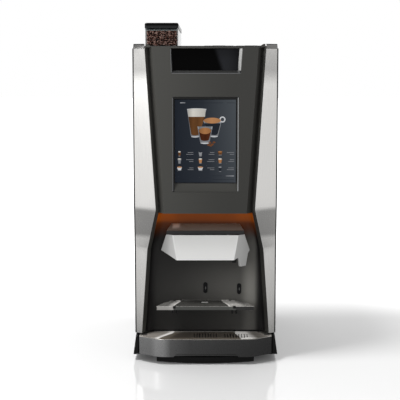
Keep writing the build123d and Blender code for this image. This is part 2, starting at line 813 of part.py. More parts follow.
def hopper_lid():
    """Lift-off lid with a hollow plug that centres it in the hopper."""
    edge = 1.5
    x = (hopper_x[0] - edge, hopper_x[1] + edge)
    y = (hopper_y[0] - edge, hopper_y[1] + edge)
    lid = fillet(vertical_edges(block(x, y, (hopper_top + play, lid_top))), 7)
    lid = fillet(lid.edges().group_by(Axis.Z)[-1], 5)
    plug_x = (-169.2, -81.6)
    plug_y = (-146.7, 211.7)
    plug = block(plug_x, plug_y, (hopper_top - 7, hopper_top + 1))
    plug = fillet(vertical_edges(plug), 4)
    rim = 2.7
    hollow_x = (plug_x[0] + rim, plug_x[1] - rim)
    hollow_y = (plug_y[0] + rim, plug_y[1] - rim)
    return lid + plug - block(hollow_x, hollow_y, (hopper_top - 8, hopper_top - 1))


# ---------------------------------------------------------------- grinder and brewer
def grinder_housing():
    body = rod_z(neck_x, neck_y, 46, (700, 795)) + rod_z(neck_x, neck_y, 21, (795, 805.7))
    spout = block((neck_x - 13, neck_x + 13), (-90, neck_y), (728, 752))
    bracket = block((neck_x - 30, neck_x + 30), (neck_y, partition_y[0] - play), (768, 786))
    body = body + spout + bracket
    body -= rod_z(neck_x, neck_y, 36, (736, 765))
    body -= rod_z(neck_x, neck_y, 17, (760, 806))
    body -= block((neck_x - 9, neck_x + 9), (-91, neck_y - 30), (737, 748))
    body -= rod_z(neck_x, neck_y, drive_r + run, (699, 740))
    return body


def grinder_burr():
    """Turning lower burr on the motor shaft."""
    disc = rod_z(neck_x, neck_y, 34, (738, 750))
    cone = Pos(neck_x, neck_y, 754) * Cone(20, 9, 8)
    burr = disc + cone + rod_z(neck_x, neck_y, drive_r, (684, 739))
    for step in range(12):
        tooth = Pos(neck_x, neck_y, 750) * Rot(0, 0, step * 30) * Pos(28, 0, 0)
        burr -= tooth * Rot(0, 0, 25) * Box(12, 2.5, 3)
    return burr


def grinder_motor():
    body = rod_z(neck_x, neck_y, 42, (604, 699.5))
    for step in range(16):
        turn = Pos(neck_x, neck_y, 645) * Rot(0, 0, step * 22.5)
        body -= turn * Pos(42, 0, 0) * Box(5, 4, 60)
    return body - rod_z(neck_x, neck_y, drive_r + run, (683, 700))


def coffee_chute():
    """Square duct from the grinder down to the brewing chamber."""
    x = (brew_x - 14, brew_x + 14)
    outer = block(x, (-118, -90.5), (608, 756))
    inner = block((x[0] + 2, x[1] - 2), (-116, -92.5), (600, 754))
    window = block((x[0] + 3, x[1] - 3), (-93, -89), (730, 750))
    return outer - inner - window


def brewer_frame():
    plate = block((-176, -74), (-56, -52), (392, 600))
    for x in (-176, -78):
        plate += block((x, x + 4), (-140, -54), (392, 600))
        plate += block((x, x + 4), (-53, partition_y[0] - play), (560, 590))
    shelf = block((-174, -76), (-138, -54), (392, 396))
    return plate + shelf - rod_x(brew_y, 520, 8, (-80, -72))


def brew_chamber():
    body = block((brew_x - 36, brew_x + 36), (brew_y - 36, brew_y + 36), (470, 560))
    body = fillet(vertical_edges(body), 12)
    arm = block((-171.8, -78.2), (brew_y - 10, brew_y + 10), (540, 556))
    funnel = rod_z(brew_x, brew_y, 34, (560, 590)) - Pos(brew_x, brew_y, 575.2) * Cone(25, 31, 30.6)
    body = body + arm + funnel
    body -= rod_z(brew_x, brew_y, brew_bore_r, (480, 561))
    return body - rod_z(brew_x, brew_y, drive_r + run, (460, 481))


def brew_piston():
    head = rod_z(brew_x, brew_y, brew_bore_r - run, (482, 500))
    for z in (486, 494):
        groove = rod_z(brew_x, brew_y, brew_bore_r + 1, (z, z + 2)) - rod_z(
            brew_x, brew_y, brew_bore_r - 1.5, (z, z + 2)
        )
        head -= groove
    return head + rod_z(brew_x, brew_y, drive_r, (432, 483))


def brewer_motor():
    gearbox = block((brew_x - 34, brew_x + 34), (brew_y - 30, brew_y + 30), (396.2, 428))
    gearbox = fillet(vertical_edges(gearbox), 6)
    return gearbox + rod_y(brew_x, 412, 14, (brew_y - 30, -57.5))


# ---------------------------------------------------------------- powder side
def canister(x):
    """Powder canister with a round trough for its auger and a front outlet."""
    half = canister_half
    y = (-165, 29)
    body = block((x - half, x + half), y, (canister_bottom, canister_top))
    body = fillet(vertical_edges(body), 4)
    slope = [(x - half + 2, 660), (x - 12, 632), (x + 12, 632), (x + half - 2, 660)]
    slope += [(x + half - 2, canister_top + 1), (x - half + 2, canister_top + 1)]
    body -= prism_y(slope, (y[0] + 2, y[1] - 2))
    body -= block((x - 12, x + 12), (y[0] + 2, y[1] - 2), (auger_z, 633))
    elbow = block((x - 17, x + 17), (-181, y[0] + 1), (575, 637))
    elbow -= block((x - 14.5, x + 14.5), (-178.5, y[0] - 2.5), (574, 634))
    body += elbow
    body -= rod_y(x, auger_z, 14, (-170, y[1] - 3))
    return body - rod_y(x, auger_z, auger_shaft_r + run, (y[1] - 4, y[1] + 1))


def canister_lid(x):
    half = canister_half
    lid = block((x - half, x + half), (-165, 29), (canister_top + 0.2, canister_top + 6))
    lid = fillet(lid.edges().group_by(Axis.Z)[-1], 2)
    return lid


def auger(x):
    """Dosing screw: shaft with slanting flights."""
    screw = rod_y(x, auger_z, auger_shaft_r, (-160, 44))
    for step in range(11):
        y = -150 + step * 16
        screw += Pos(x, y, auger_z) * Rot(90 + 14, 0, 0) * Cylinder(13.2, 2)
    return screw


def dosing_motor(x):
    body = block((x - 22, x + 22), (34, 62), (598, 642))
    body += rod_y(x + 8, 628, 10, (62, 84))
    return body - rod_y(x, auger_z, auger_shaft_r + run, (33, 46))


def mixing_bowl(x):
    y = bowl_y
    bowl = Pos(x, y, 545) * Cone(19, 32, 30) + rod_z(x, y, 32, (560, 566))
    hollow = Pos(x, y, 546) * Cone(16, 29.5, 30) + rod_z(x, y, 29.5, (560, 567))
    chamber = rod_y(x, mixer_z, 20, (y - 16, y + 18))
    room = rod_y(x, mixer_z, 17.5, (y - 14, y + 16))
    neck = rod_z(x, y, 19, (520, 531))
    spout = rod_z(x, y - 6, 7, (478, 490))
    bowl = bowl + neck + chamber + spout
    bowl -= hollow
    bowl -= room
    bowl -= rod_z(x, y, 15, (510, 535))
    bowl -= rod_z(x, y - 6, 4.5, (477, 492))
    return bowl - rod_y(x, mixer_z, mixer_shaft_r + run, (y + 15, y + 19))


def whipper(x):
    """Mixing impeller on the mixer motor's shaft."""
    wheel = rod_y(x, mixer_z, 6, (bowl_y - 6, bowl_y + 4)) + rod_y(x, mixer_z, mixer_shaft_r, (bowl_y, -112))
    wheel += rod_y(x, mixer_z, 14, (bowl_y + 2, bowl_y + 4))
    for step in range(4):
        wheel += Pos(x, bowl_y - 1, mixer_z) * Rot(0, step * 45, 0) * Box(28, 8, 1.6)
    return wheel


def mixer_motor(x):
    body = rod_y(x, mixer_z, 21, (mixer_face, -70))
    body += block((x - 24, x + 24), (mixer_face - 3.5, mixer_face), (mixer_z - 24, mixer_z + 14))
    return body - rod_y(x, mixer_z, mixer_shaft_r + run, (-130, -110))


def outlet_hoses():
    """Silicone hoses from both mixing bowls and the brewer to the door's ports."""
    made = []
    for x, port in ((canister_x[0], 0), (canister_x[1], 40)):
        points = [(x, bowl_y - 6, 477.8), (x, bowl_y - 6, 440), (port, -150, 390)]
        points += [(port, -165, 371), (port, -188, 371)]
        made.append(tube_along(points, 12, 6, 4))
    points = [(brew_x + 36.5, brew_y, 520), (-60, brew_y, 520), (-40, -130, 420)]
    points += [(-40, -160, 371), (-40, -188, 371)]
    made.append(tube_along(points, 12, 6, 4))
    return made


def waste_bin():
    """Open bin for used coffee, behind the closed door."""
    bin_body = block((-190, 10), (-178, 25), (base_top + 4, 330))
    bin_body = fillet(vertical_edges(bin_body), 10)
    inside = block((-187, 7), (-175, 22), (base_top + 7, 331))
    inside = fillet(vertical_edges(inside), 7)
    handle = block((-130, -50), (-179, -174), (270, 300))
    return bin_body - inside - handle


# ---------------------------------------------------------------- rear compartment
def boiler_tank():
    tank = rod_z(boiler_x, boiler_y, boiler_r, (300, 540))
    tank = fillet(tank.edges(), 18)
    for x in (-25, 0, 25):
        tank += rod_z(boiler_x + x, boiler_y, 6, (539, 556))
    tank += rod_z(boiler_x, boiler_y, 8, (280, 301))
    for x in (-38, 38):
        for y in (-38, 38):
            tank += rod_z(boiler_x + x, boiler_y + y, 5, (floor_top, 330))
    return tank


def water_pump():
    body = rod_y(-10, 112, 22, (110, 170)) + block((-28, 8), (170, 205), (92, 132))
    body += block((-30, 10), (108, 172), (floor_top, 92))
    return body + rod_y(-10, 112, 6, (205, 218))


def inlet_valve():
    """Inlet valve with its threaded male water connection through the back panel."""
    body = block((inlet_x - 22, inlet_x + 22), (232, 272), (inlet_z - 20, inlet_z + 22))
    body = fillet(vertical_edges(body), 4)
    collar = rod_y(inlet_x, inlet_z, inlet_r + 6, (272, 278.7))
    thread = rod_y(inlet_x, inlet_z, inlet_r, (278.6, depth_half))
    coil = rod_z(inlet_x, 250, 13, (inlet_z + 22, inlet_z + 48))
    stand = block((inlet_x - 12, inlet_x + 12), (240, 264), (floor_top, inlet_z - 20))
    return body + collar + thread + coil + stand - rod_y(inlet_x, inlet_z, 8, (262, 294))


def mains_inlet():
    x = (socket_x - 14, socket_x + 14)
    z = (socket_z - 12, socket_z + 12)
    body = block(x, (256, cabinet_back + 1), z)
    flange = block((x[0] - 6, x[1] + 6), (276, rear_inside), (z[0] - 4, z[1] + 4))
    room = block((x[0] + 2.5, x[1] - 2.5), (266, 283), (z[0] + 2.5, z[1] - 2.5))
    socket = body + flange - room
    for offset_x in (-6, 0, 6):
        pin_z = socket_z + (3 if offset_x == 0 else -3)
        pin = (socket_x + offset_x - 1, socket_x + offset_x + 1)
        socket += block(pin, (265, 279), (pin_z - 2.5, pin_z + 2.5))
    return socket


def power_supply():
    case = block((60, 190), (120, 240), (330, 372))
    for step in range(9):
        y = 130 + step * 12
        case -= block((70, 180), (y, y + 4), (366, 373))
    foot = block((190, 200.2), (130, 230), (330, 334))
    return case + foot


def control_board():
    board = block((20, 180), (38, 40), (680, 860))
    for x in (40, 80, 120, 160):
        board += rod_y(x, 690, 3, (33.2, 38)) + rod_y(x, 850, 3, (33.2, 38))
    for x, z, w, h in ((50, 800, 26, 26), (110, 810, 40, 14), (110, 760, 18, 18), (60, 720, 30, 12)):
        board += block((x - w / 2, x + w / 2), (40, 46), (z - h / 2, z + h / 2))
    for x in (140, 155):
        board += rod_y(x, 720, 6, (40, 54))
    return board


def fan_housing():
    y = (250, rear_inside - gap)
    body = block((fan_x - fan_frame, fan_x + fan_frame), y, (fan_z - fan_frame, fan_z + fan_frame))
    body = fillet(body.edges().filter_by(Axis.Y), 6)
    body -= rod_y(fan_x, fan_z, fan_r - 1, (y[0] - 1, y[1] + 1))
    for angle in (45, 135):
        spoke = Pos(fan_x, y[0] + 2, fan_z) * Rot(0, angle, 0) * Box(118, 4, 6)
        body += spoke
    hub = rod_y(fan_x, fan_z, 20, (y[0], y[0] + 4)) + rod_y(fan_x, fan_z, 4, (y[0], y[1] - 4))
    return body + hub


def fan_impeller():
    wheel = rod_y(fan_x, fan_z, 20, (255, 275))
    for step in range(7):
        turn = Pos(fan_x, 265, fan_z) * Rot(0, step * 360 / 7, 0)
        wheel += turn * Pos(36, 0, 0) * Rot(32, 0, 0) * Box(36, 2, 24)
    return wheel - rod_y(fan_x, fan_z, 4 + run, (254, 280))


def water_pipes():
    """Pipes from the inlet valve to the pump and from the pump to the boiler."""
    feed = tube_along(
        [(inlet_x - 22.3, 250, inlet_z), (60, 250, inlet_z), (-10, 250, 112), (-10, 218.3, 112)], 12, 5, 3.5
    )
    rise = tube_along(
        [(-28.3, 188, 112), (-50, 188, 112), (-50, 150, 270), (-75, 150, 290), (-101.8, 150, 290)], 8, 4, 3
    )
    return [feed, rise]


def main():
    keep("base_pan", base_pan())
    keep("plinth", plinth())
    keep("levelling_feet", *levelling_feet())
    keep("drip_tray", drip_tray())
    keep("drip_grid", drip_grid())
    keep("chassis", chassis())
    keep("side_panels", side_panel(-1), side_panel(1))
    keep("back_panel", back_panel())
    keep("top_cover", top_cover())
    keep("hinge_brackets", *hinge_brackets())
    keep("trim_left", trim(-1))
    keep("trim_right", trim(1))
    keep("door_shell", door_shell())
    keep("door_frame", door_frame())
    keep("lock_cylinder", lock_cylinder())
    keep("alcove_liner", alcove_liner())
    keep("sensor_lenses", *sensor_lenses())
    keep("screen_bezel", screen_bezel())
    keep("touch_glass", touch_glass())
    keep("display_module", display_module())
    keep("header_bezel", header_bezel())
    keep("header_panel", header_panel())
    keep("led_strip", led_strip())
    keep("spout_hood", spout_hood())
    keep("coffee_outlet", coffee_outlet())
    keep("water_nozzle", water_nozzle())
    keep("spout_cover", spout_cover())
    keep("shelf_brackets", *shelf_brackets())
    keep("cup_shelf", cup_shelf())
    keep("bean_hopper", bean_hopper())
    keep("hopper_gate", hopper_gate())
    keep("hopper_lid", hopper_lid())
    keep("grinder_housing", grinder_housing())
    keep("grinder_burr", grinder_burr())
    keep("grinder_motor", grinder_motor())
    keep("coffee_chute", coffee_chute())
    keep("brewer_frame", brewer_frame())
    keep("brew_chamber", brew_chamber())
    keep("brew_piston", brew_piston())
    keep("brewer_motor", brewer_motor())
    keep("waste_bin", waste_bin())
    keep("canister_lids", *[canister_lid(x) for x in canister_x])
    keep("powder_canisters", *[canister(x) for x in canister_x])
    keep("dosing_motors", *[dosing_motor(x) for x in canister_x])
    keep("mixing_bowls", *[mixing_bowl(x) for x in canister_x])
    keep("mixer_motors", *[mixer_motor(x) for x in canister_x])
    for side, x in zip(("left", "right"), canister_x):
        keep("auger_" + side, auger(x))
        keep("whipper_" + side, whipper(x))
    keep("outlet_hoses", *outlet_hoses())
    keep("boiler_tank", boiler_tank())
    keep("water_pump", water_pump())
    keep("inlet_valve", inlet_valve())
    keep("mains_inlet", mains_inlet())
    keep("power_supply", power_supply())
    keep("control_board", control_board())
    keep("fan_housing", fan_housing())
    keep("fan_impeller", fan_impeller())
    keep("water_pipes", *water_pipes())
    os.makedirs("parts", exist_ok=True)
    for name, shape in nodes.items():
        export_step(shape, "parts/" + name + ".step")


main()
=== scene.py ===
"""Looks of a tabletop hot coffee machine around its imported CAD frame.

The row frame has X to the right, Y to the back and Z up. Masks in the materials are in metres
at rest. Added pieces are drawn in millimetres and scaled by MM.
"""
import json
import math
import random

import bmesh
import bpy
from mathutils import Matrix, Vector, noise


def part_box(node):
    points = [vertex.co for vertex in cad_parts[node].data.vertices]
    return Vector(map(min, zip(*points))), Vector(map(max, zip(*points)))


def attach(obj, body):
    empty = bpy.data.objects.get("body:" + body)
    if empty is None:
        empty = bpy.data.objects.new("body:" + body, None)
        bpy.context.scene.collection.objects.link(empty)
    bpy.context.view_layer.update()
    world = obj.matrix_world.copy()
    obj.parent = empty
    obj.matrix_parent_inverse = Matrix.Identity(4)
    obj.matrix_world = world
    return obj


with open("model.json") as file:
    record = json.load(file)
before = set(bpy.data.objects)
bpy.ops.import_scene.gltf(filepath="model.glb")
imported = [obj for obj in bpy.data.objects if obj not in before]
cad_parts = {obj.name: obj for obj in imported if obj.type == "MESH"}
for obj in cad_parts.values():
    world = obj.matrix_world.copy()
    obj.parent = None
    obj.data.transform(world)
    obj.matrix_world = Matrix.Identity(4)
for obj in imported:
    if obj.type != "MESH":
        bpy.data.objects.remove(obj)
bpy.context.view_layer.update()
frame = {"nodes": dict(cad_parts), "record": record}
NODES = frame["nodes"]
MM = 0.001
FACE_LEAN = math.radians(1.81)  # the door face and all set into it lean back by this much
FACE_COLOUR = (0.045, 0.0445, 0.0405)


# ------------------------------------------------------------------ node helpers
class Nodes:
    """A node tree, with short calls for the textures, masks and sums that the looks need.

    A value is a socket to link, a number or a colour.
    """

    def __init__(self, tree, coordinates):
        self.tree = tree
        self.place = self.add("ShaderNodeTexCoord").outputs[coordinates]

    def add(self, kind, **settings):
        node = self.tree.nodes.new(kind)
        for key, item in settings.items():
            setattr(node, key, item)
        return node

    def put(self, value, socket):
        if isinstance(value, bpy.types.NodeSocket):
            self.tree.links.new(value, socket)
        elif socket.type == "RGBA":
            socket.default_value = (*value, 1)
        else:
            socket.default_value = value

    def fill(self, node, **values):
        """Puts values on a node's inputs, named with _ in place of a space."""
        for key, value in values.items():
            self.put(value, node.inputs[key.replace("_", " ")])
        return node

    def stretched(self, scale):
        """Texture place with its own scale on each axis."""
        mapping = self.fill(self.add("ShaderNodeMapping"), Vector=self.place, Scale=scale)
        return mapping.outputs["Vector"]

    def axis(self, letter, place=None):
        """One coordinate of the place."""
        split = self.fill(self.add("ShaderNodeSeparateXYZ"), Vector=place or self.place)
        return split.outputs[letter]

    def off_centre(self):
        """Distance from the machine's middle plane."""
        return self.math("ABSOLUTE", self.axis("X"))

    def slant(self, height, slope):
        """Sideways shift of a slanting line, which is zero at that height."""
        return self.times(self.minus(self.axis("Z"), height), slope)

    def spread(self, value, low, high, start=0.0, end=1.0, shape="LINEAR"):
        """Maps low..high to start..end, and holds the ends outside that range."""
        node = self.add("ShaderNodeMapRange", interpolation_type=shape)
        self.fill(node, Value=value, From_Min=low, From_Max=high, To_Min=start, To_Max=end)
        return node.outputs["Result"]

    def window(self, value, low, high, start=0.0, end=1.0):
        """Smooth step of a value between low and high."""
        return self.spread(value, low, high, start, end, "SMOOTHSTEP")

    def between(self, value, low, high):
        """Maps a 0..1 value to the range low..high."""
        return self.spread(value, 0.0, 1.0, low, high)

    def math(self, operation, first, second=0.0):
        node = self.add("ShaderNodeMath", operation=operation)
        self.put(first, node.inputs[0])
        self.put(second, node.inputs[1])
        return node.outputs[0]

    def plus(self, first, second):
        return self.math("ADD", first, second)

    def minus(self, first, second):
        return self.math("SUBTRACT", first, second)

    def times(self, product, *factors):
        for factor in factors:
            product = self.math("MULTIPLY", product, factor)
        return product

    def scaled(self, colour, factor):
        """A colour times a number."""
        node = self.add("ShaderNodeVectorMath", operation="SCALE")
        self.put(colour, node.inputs[0])
        self.put(factor, node.inputs["Scale"])
        return node.outputs[0]

    def noise(self, scale, detail=4.0, place=None, roughness=0.5):
        texture = self.add("ShaderNodeTexNoise")
        self.fill(texture, Vector=place or self.place, Scale=scale, Detail=detail,
                  Roughness=roughness)
        return texture.outputs["Fac"]

    def ramp(self, value, stops):
        """Colour ramp: stops are (position, grey or colour)."""
        node = self.add("ShaderNodeValToRGB")
        items = node.color_ramp.elements
        while len(items) < len(stops):
            items.new(0.5)
        for item, (position, colour) in zip(items, stops):
            item.position = position
            shades = colour if isinstance(colour, tuple) else (colour, colour, colour)
            item.color = (*shades, 1)
        self.put(value, node.inputs["Fac"])
        return node.outputs["Color"]

    def mix(self, share, first, second, blend="MIX"):
        node = self.add("ShaderNodeMix", data_type="RGBA", blend_type=blend)
        self.put(share, node.inputs["Factor"])
        self.put(first, node.inputs[6])
        self.put(second, node.inputs[7])
        return node.outputs[2]

    def seen_directly(self):
        """1 for what the camera sees itself, 0 for what it sees in a mirror or as light."""
        return self.add("ShaderNodeLightPath").outputs["Is Camera Ray"]


class Shader(Nodes):
    """One procedural material around a Principled BSDF."""

    def __init__(self, name):
        self.material = bpy.data.materials.new(name)
        self.material.use_nodes = True
        super().__init__(self.material.node_tree, "Object")
        self.bsdf = self.tree.nodes["Principled BSDF"]
        self.output = self.tree.nodes["Material Output"]

    def set(self, **values):
        """Puts values on the Principled BSDF."""
        self.fill(self.bsdf, **values)

    def relief(self, height, strength, distance):
        """Fine relief of the surface."""
        bump = self.add("ShaderNodeBump")
        self.fill(bump, Height=height, Strength=strength, Distance=distance)
        self.set(Normal=bump.outputs["Normal"])

    def grain(self, scale=900.0, strength=0.3, height=0.05 * MM):
        """Fine spark grain of moulded plastic."""
        self.relief(self.noise(scale, 2.0), strength, height)

    def edge_mask(self, radius, low=0.02, high=0.35):
        """White along sharp edges: where a rounded normal leaves the true one."""
        bevel = self.add("ShaderNodeBevel", samples=4)
        bevel.inputs["Radius"].default_value = radius
        dot = self.add("ShaderNodeVectorMath", operation="DOT_PRODUCT")
        self.put(bevel.outputs["Normal"], dot.inputs[0])
        self.put(self.add("ShaderNodeNewGeometry").outputs["Normal"], dot.inputs[1])
        return self.spread(dot.outputs["Value"], 1 - low, 1 - high)

    def surface(self, share, first, second):
        """Two shaders in one surface; share is how much of the second shows."""
        mixer = self.fill(self.add("ShaderNodeMixShader"), Fac=share)
        self.put(first, mixer.inputs[1])
        self.put(second, mixer.inputs[2])
        self.put(mixer.outputs[0], self.output.inputs["Surface"])


def toned(colour, factor, lift=0.0):
    """A colour brighter or darker by a factor."""
    return tuple(min(1.0, c * factor + lift) for c in colour)


# ------------------------------------------------------------------ kinds of material
def moulded(name, colour, rough=0.45, grain=900.0, grain_height=0.06 * MM, worn=1.6,
            coat=0.0, shine=0.35, painted_left_light=1.0):
    """Moulded plastic: fine spark grain, faint handling marks, edges polished paler.

    With a factor above one, painted light makes it paler by that factor towards the machine's
    left.
    """
    s = Shader(name)
    body = s.mix(s.between(s.noise(6.0, 3.0), 0.0, 0.8), toned(colour, 0.86), colour)
    # painted light: paler towards the machine's left
    if painted_left_light != 1.0:
        body = s.mix(s.window(s.axis("X"), 0.09, -0.16), body, toned(colour, painted_left_light))
    s.set(Base_Color=s.mix(s.edge_mask(0.9 * MM), body, toned(colour, worn, 0.006)),
          Roughness=s.between(s.noise(23.0, 5.0), rough - 0.08, rough + 0.10),
          Coat_Weight=coat, Coat_Roughness=0.08, Specular_IOR_Level=shine)
    s.grain(grain, 0.35, grain_height)
    return s.material


def brushed(name, colour, rough=0.3, along=2, strength=0.25, dirt=0.05, shade=None):
    """Brushed metal: fine streaks along one axis, soft cloudy smudges, bright edges.

    A shade is a function that takes the shader and gives a brightness for the metal: light and
    shade painted into its colour.
    """
    s = Shader(name)
    scale = [900.0, 900.0, 900.0]
    scale[along] = 9.0
    streak = s.noise(1.0, 3.0, s.stretched(scale), 0.7)
    body = s.mix(streak, toned(colour, 0.96 - dirt), colour)
    body = s.mix(s.between(s.noise(7.0, 4.0), 0.0, 0.25), body, toned(colour, 0.9))
    # painted light and shade from the shade function
    if shade:
        body = s.scaled(body, shade(s))
    s.set(Base_Color=s.mix(s.edge_mask(0.6 * MM), body, toned(colour, 1.15)),
          Roughness=s.between(streak, rough - 0.06, rough + 0.12),
          Metallic=1.0, Anisotropic=0.4)
    s.relief(streak, strength, 0.04 * MM)
    return s.material


def powder_coat(name, colour, rough=0.5):
    """Powder-coated sheet: fine orange peel, faint dust, chipped paler edges."""
    s = Shader(name)
    dust = s.noise(5.0, 6.0)
    body = s.mix(s.between(dust, 0.0, 0.7), colour, toned(colour, 1.0, 0.012))
    scratch = s.ramp(s.noise(60.0, 8.0), ((0.5, 0.0), (0.62, 1.0)))
    chips = s.times(s.edge_mask(0.8 * MM), scratch)
    s.set(Base_Color=s.mix(chips, body, (0.20, 0.20, 0.20)),
          Roughness=s.between(dust, rough - 0.06, rough + 0.10))
    s.grain(420.0, 0.3, 0.08 * MM)
    return s.material


def gloss(name, colour, rough=0.06):
    """High gloss plastic: faint swirl marks and dust in the polish."""
    s = Shader(name)
    dust = s.ramp(s.noise(900.0, 2.0), ((0.70, 0.0), (0.80, 0.08)))
    s.set(Base_Color=s.mix(dust, colour, (0.25, 0.25, 0.25)),
          Roughness=s.between(s.noise(140.0, 8.0, None, 0.7), rough * 0.6, rough * 1.7),
          Coat_Weight=0.05, Coat_Roughness=0.03, Specular_IOR_Level=0.12)
    s.grain(30.0, 0.05, 0.2 * MM)
    return s.material


def clear_plastic(name, tint=(0.93, 0.95, 0.95), haze=0.10):
    """Clear moulded wall: mostly see-through, with a Fresnel shine and a slight haze."""
    s = Shader(name)
    see_through = s.fill(s.add("ShaderNodeBsdfTransparent"), Color=tint)
    fresnel = s.fill(s.add("ShaderNodeLayerWeight"), Blend=0.28)
    share = s.plus(fresnel.outputs["Facing"], s.between(s.noise(35.0, 5.0), 0.0, haze))
    s.surface(share, see_through.outputs[0], s.bsdf.outputs[0])
    s.set(Base_Color=s.mix(s.edge_mask(1.2 * MM), toned(tint, 0.10), (0.75, 0.78, 0.78)),
          Roughness=s.between(s.noise(50.0, 4.0), 0.05, 0.16), Specular_IOR_Level=0.5)
    return s.material


def lit(name, colour, strength, texture_scale=60.0, shades=None):
    """Lit diffuser or display ink. Shades are (place across, brightness) stops."""
    s = Shader(name)
    uneven = s.between(s.noise(texture_scale, 3.0), 0.8, 1.15)
    if shades:
        across = s.axis("X", s.add("ShaderNodeTexCoord").outputs["Generated"])
        uneven = s.times(uneven, s.ramp(across, shades))
    s.set(Base_Color=toned(colour, 0.1), Roughness=0.6, Specular_IOR_Level=0.05,
          Emission_Color=s.scaled(colour, uneven), Emission_Strength=strength)
    return s.material


# ------------------------------------------------------------------ materials of single nodes
def trim_painted_shade(s):
    """Painted shade on the trims: a darker upper end, a darker cap under a black top line and a
    darker break facet; also a dark outer edge.
    """
    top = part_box("trim_left")[1].z
    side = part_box("trim_right")[1].x
    left = s.window(s.axis("X"), 0.05, -0.05)
    height = s.axis("Z")
    # painted shade: the upper end and the cap darker, more so on the left
    crown = s.window(height, 0.785, 0.835, 1.0, s.between(left, 0.58, 0.49))
    cap = s.window(height, top - 14.6 * MM, top - 13.6 * MM, 1.0, s.between(left, 0.78, 0.20))
    top_line = s.window(height, top - 2.2 * MM, top - 1.8 * MM, 1.0, 0.02)
    outer = s.window(s.off_centre(), side - 1.4 * MM, side - 1.0 * MM, 1.0, 0.05)
    # painted shade: the break facet darker
    facet = s.times(s.window(height, 0.355, 0.372), s.window(height, 0.452, 0.435))
    facet_shade = s.minus(1.0, s.times(facet, s.between(left, 0.46, 0.52)))
    return s.times(crown, cap, top_line, outer, facet_shade)


def alcove_plastic():
    """Alcove liner: painted light makes its back wall pale towards the lower right, painted shade
    darkens its sides, top and bottom, and a painted amber glow lies under the lamp.
    """
    s = Shader("liner_plastic")
    height, across = s.axis("Z"), s.axis("X")
    # painted light and shade on the back wall: paler towards the lower right, darker at the sides,
    # towards the top and at the bottom
    back_wall = s.window(s.axis("Y"), -0.212, -0.203)
    between_sides = s.window(s.off_centre(), 0.160, 0.138)
    below_hood = s.times(s.window(height, 0.395, 0.33), s.window(height, 0.30, 0.19, 0.55, 1.0))
    above_tray = s.window(height, 0.13, 0.175, 0.35, 1.0)
    rightward = s.window(across, -0.12, 0.13, 0.25, 1.0)
    # painted highlight: a soft pale stripe on the right of the back wall
    highlight_stripe = s.times(s.window(across, 0.098, 0.130), s.window(across, 0.156, 0.142), 1.5)
    pale = s.times(back_wall, between_sides, below_hood, above_tray, s.plus(rightward, highlight_stripe))
    dark = s.mix(s.noise(8.0, 4.0), (0.010, 0.010, 0.010), (0.016, 0.015, 0.015))
    body = s.mix(1.0, dark, s.scaled((0.125, 0.122, 0.112), pale), "ADD")

    # painted light: the lamp's amber glow on the liner, dimmer at the ceiling and brighter at the
    # ends
    rising = s.times(s.window(height, 0.345, 0.425), s.window(height, 0.392, 0.405, 0.45, 1.0))
    ceiling = s.window(height, 0.4195, 0.4275, 1.0, 0.35)
    ends = s.window(s.off_centre(), 0.06, 0.11, 0.85, 1.10)
    uneven = s.between(s.noise(14.0, 3.0), 0.75, 1.25)
    wall_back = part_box("alcove_liner")[1].y
    inside = s.window(s.axis("Y"), wall_back - 0.9 * MM, wall_back - 1.7 * MM, 0.0, 0.155)
    s.set(Base_Color=body, Roughness=s.between(s.noise(30.0, 5.0), 0.30, 0.46),
          Specular_IOR_Level=0.15, Emission_Color=(1.0, 0.20, 0.0),
          Emission_Strength=s.times(rising, ceiling, ends, uneven, inside))
    s.grain()
    return s.material


def header_frame():
    """Black header surround whose wide right-hand bar is bright metal."""
    s = Shader("header_frame")
    bar_edge = s.minus(s.axis("X"), s.slant(0.86, 0.0735))
    bar = s.times(s.window(bar_edge, 0.0918, 0.0926), s.window(s.axis("Z"), 0.8290, 0.8298))
    streak = s.noise(1.0, 3.0, s.stretched((900.0, 900.0, 12.0)))
    s.set(Base_Color=s.mix(bar, (0.012, 0.012, 0.012), (0.50, 0.50, 0.49)), Metallic=bar,
          Roughness=s.between(streak, 0.25, 0.4))
    s.relief(streak, 0.1, 0.03 * MM)
    return s.material


def header_glass():
    """Gloss black panel; a broad soft reflection is painted across its right-hand third."""
    s = Shader("gloss_black")
    # painted reflection across the right-hand third
    painted_reflection = s.window(s.minus(s.axis("X"), s.slant(0.86, -0.33)), 0.030, 0.046)
    fade = s.window(s.axis("X"), 0.100, 0.055, 0.45, 1.0)
    tone = s.mix(s.times(painted_reflection, fade), (0.0015, 0.0015, 0.0015), (0.021, 0.022, 0.025))
    s.set(Base_Color=tone, Roughness=s.between(s.noise(140.0, 8.0, None, 0.7), 0.05, 0.14),
          Specular_IOR_Level=0.04)
    return s.material


def screen_frame():
    """Screen surround: black round the glass, face colour on the sloping lower ledge."""
    s = Shader("screen_frame")
    glass_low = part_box("touch_glass")[0]
    ledge = s.window(s.axis("Z"), glass_low.z - 0.24 * MM, glass_low.z - 1.24 * MM)
    wide = s.window(s.axis("X"), glass_low.x - 0.3 * MM, glass_low.x - 0.1 * MM)
    s.set(Base_Color=s.mix(s.times(ledge, wide), (0.006, 0.006, 0.006), FACE_COLOUR),
          Roughness=s.between(s.noise(40.0, 4.0), 0.35, 0.5), Specular_IOR_Level=0.3)
    s.grain()
    return s.material


def screen_background():
    """Dark slate display ground, paler towards its upper right."""
    s = Shader("screen_ground")
    low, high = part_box("touch_glass")
    across = s.spread(s.axis("X"), low.x, high.x)
    upward = s.spread(s.axis("Z"), low.z, high.z, 0.80, 1.0)
    slate = ((0.0, (0.010, 0.014, 0.021)), (0.45, (0.020, 0.025, 0.033)),
             (1.0, (0.068, 0.078, 0.087)))
    s.set(Base_Color=(0.005, 0.005, 0.006), Roughness=0.5, Specular_IOR_Level=0.08,
          Emission_Color=s.ramp(s.times(across, upward), slate), Emission_Strength=0.9)
    return s.material


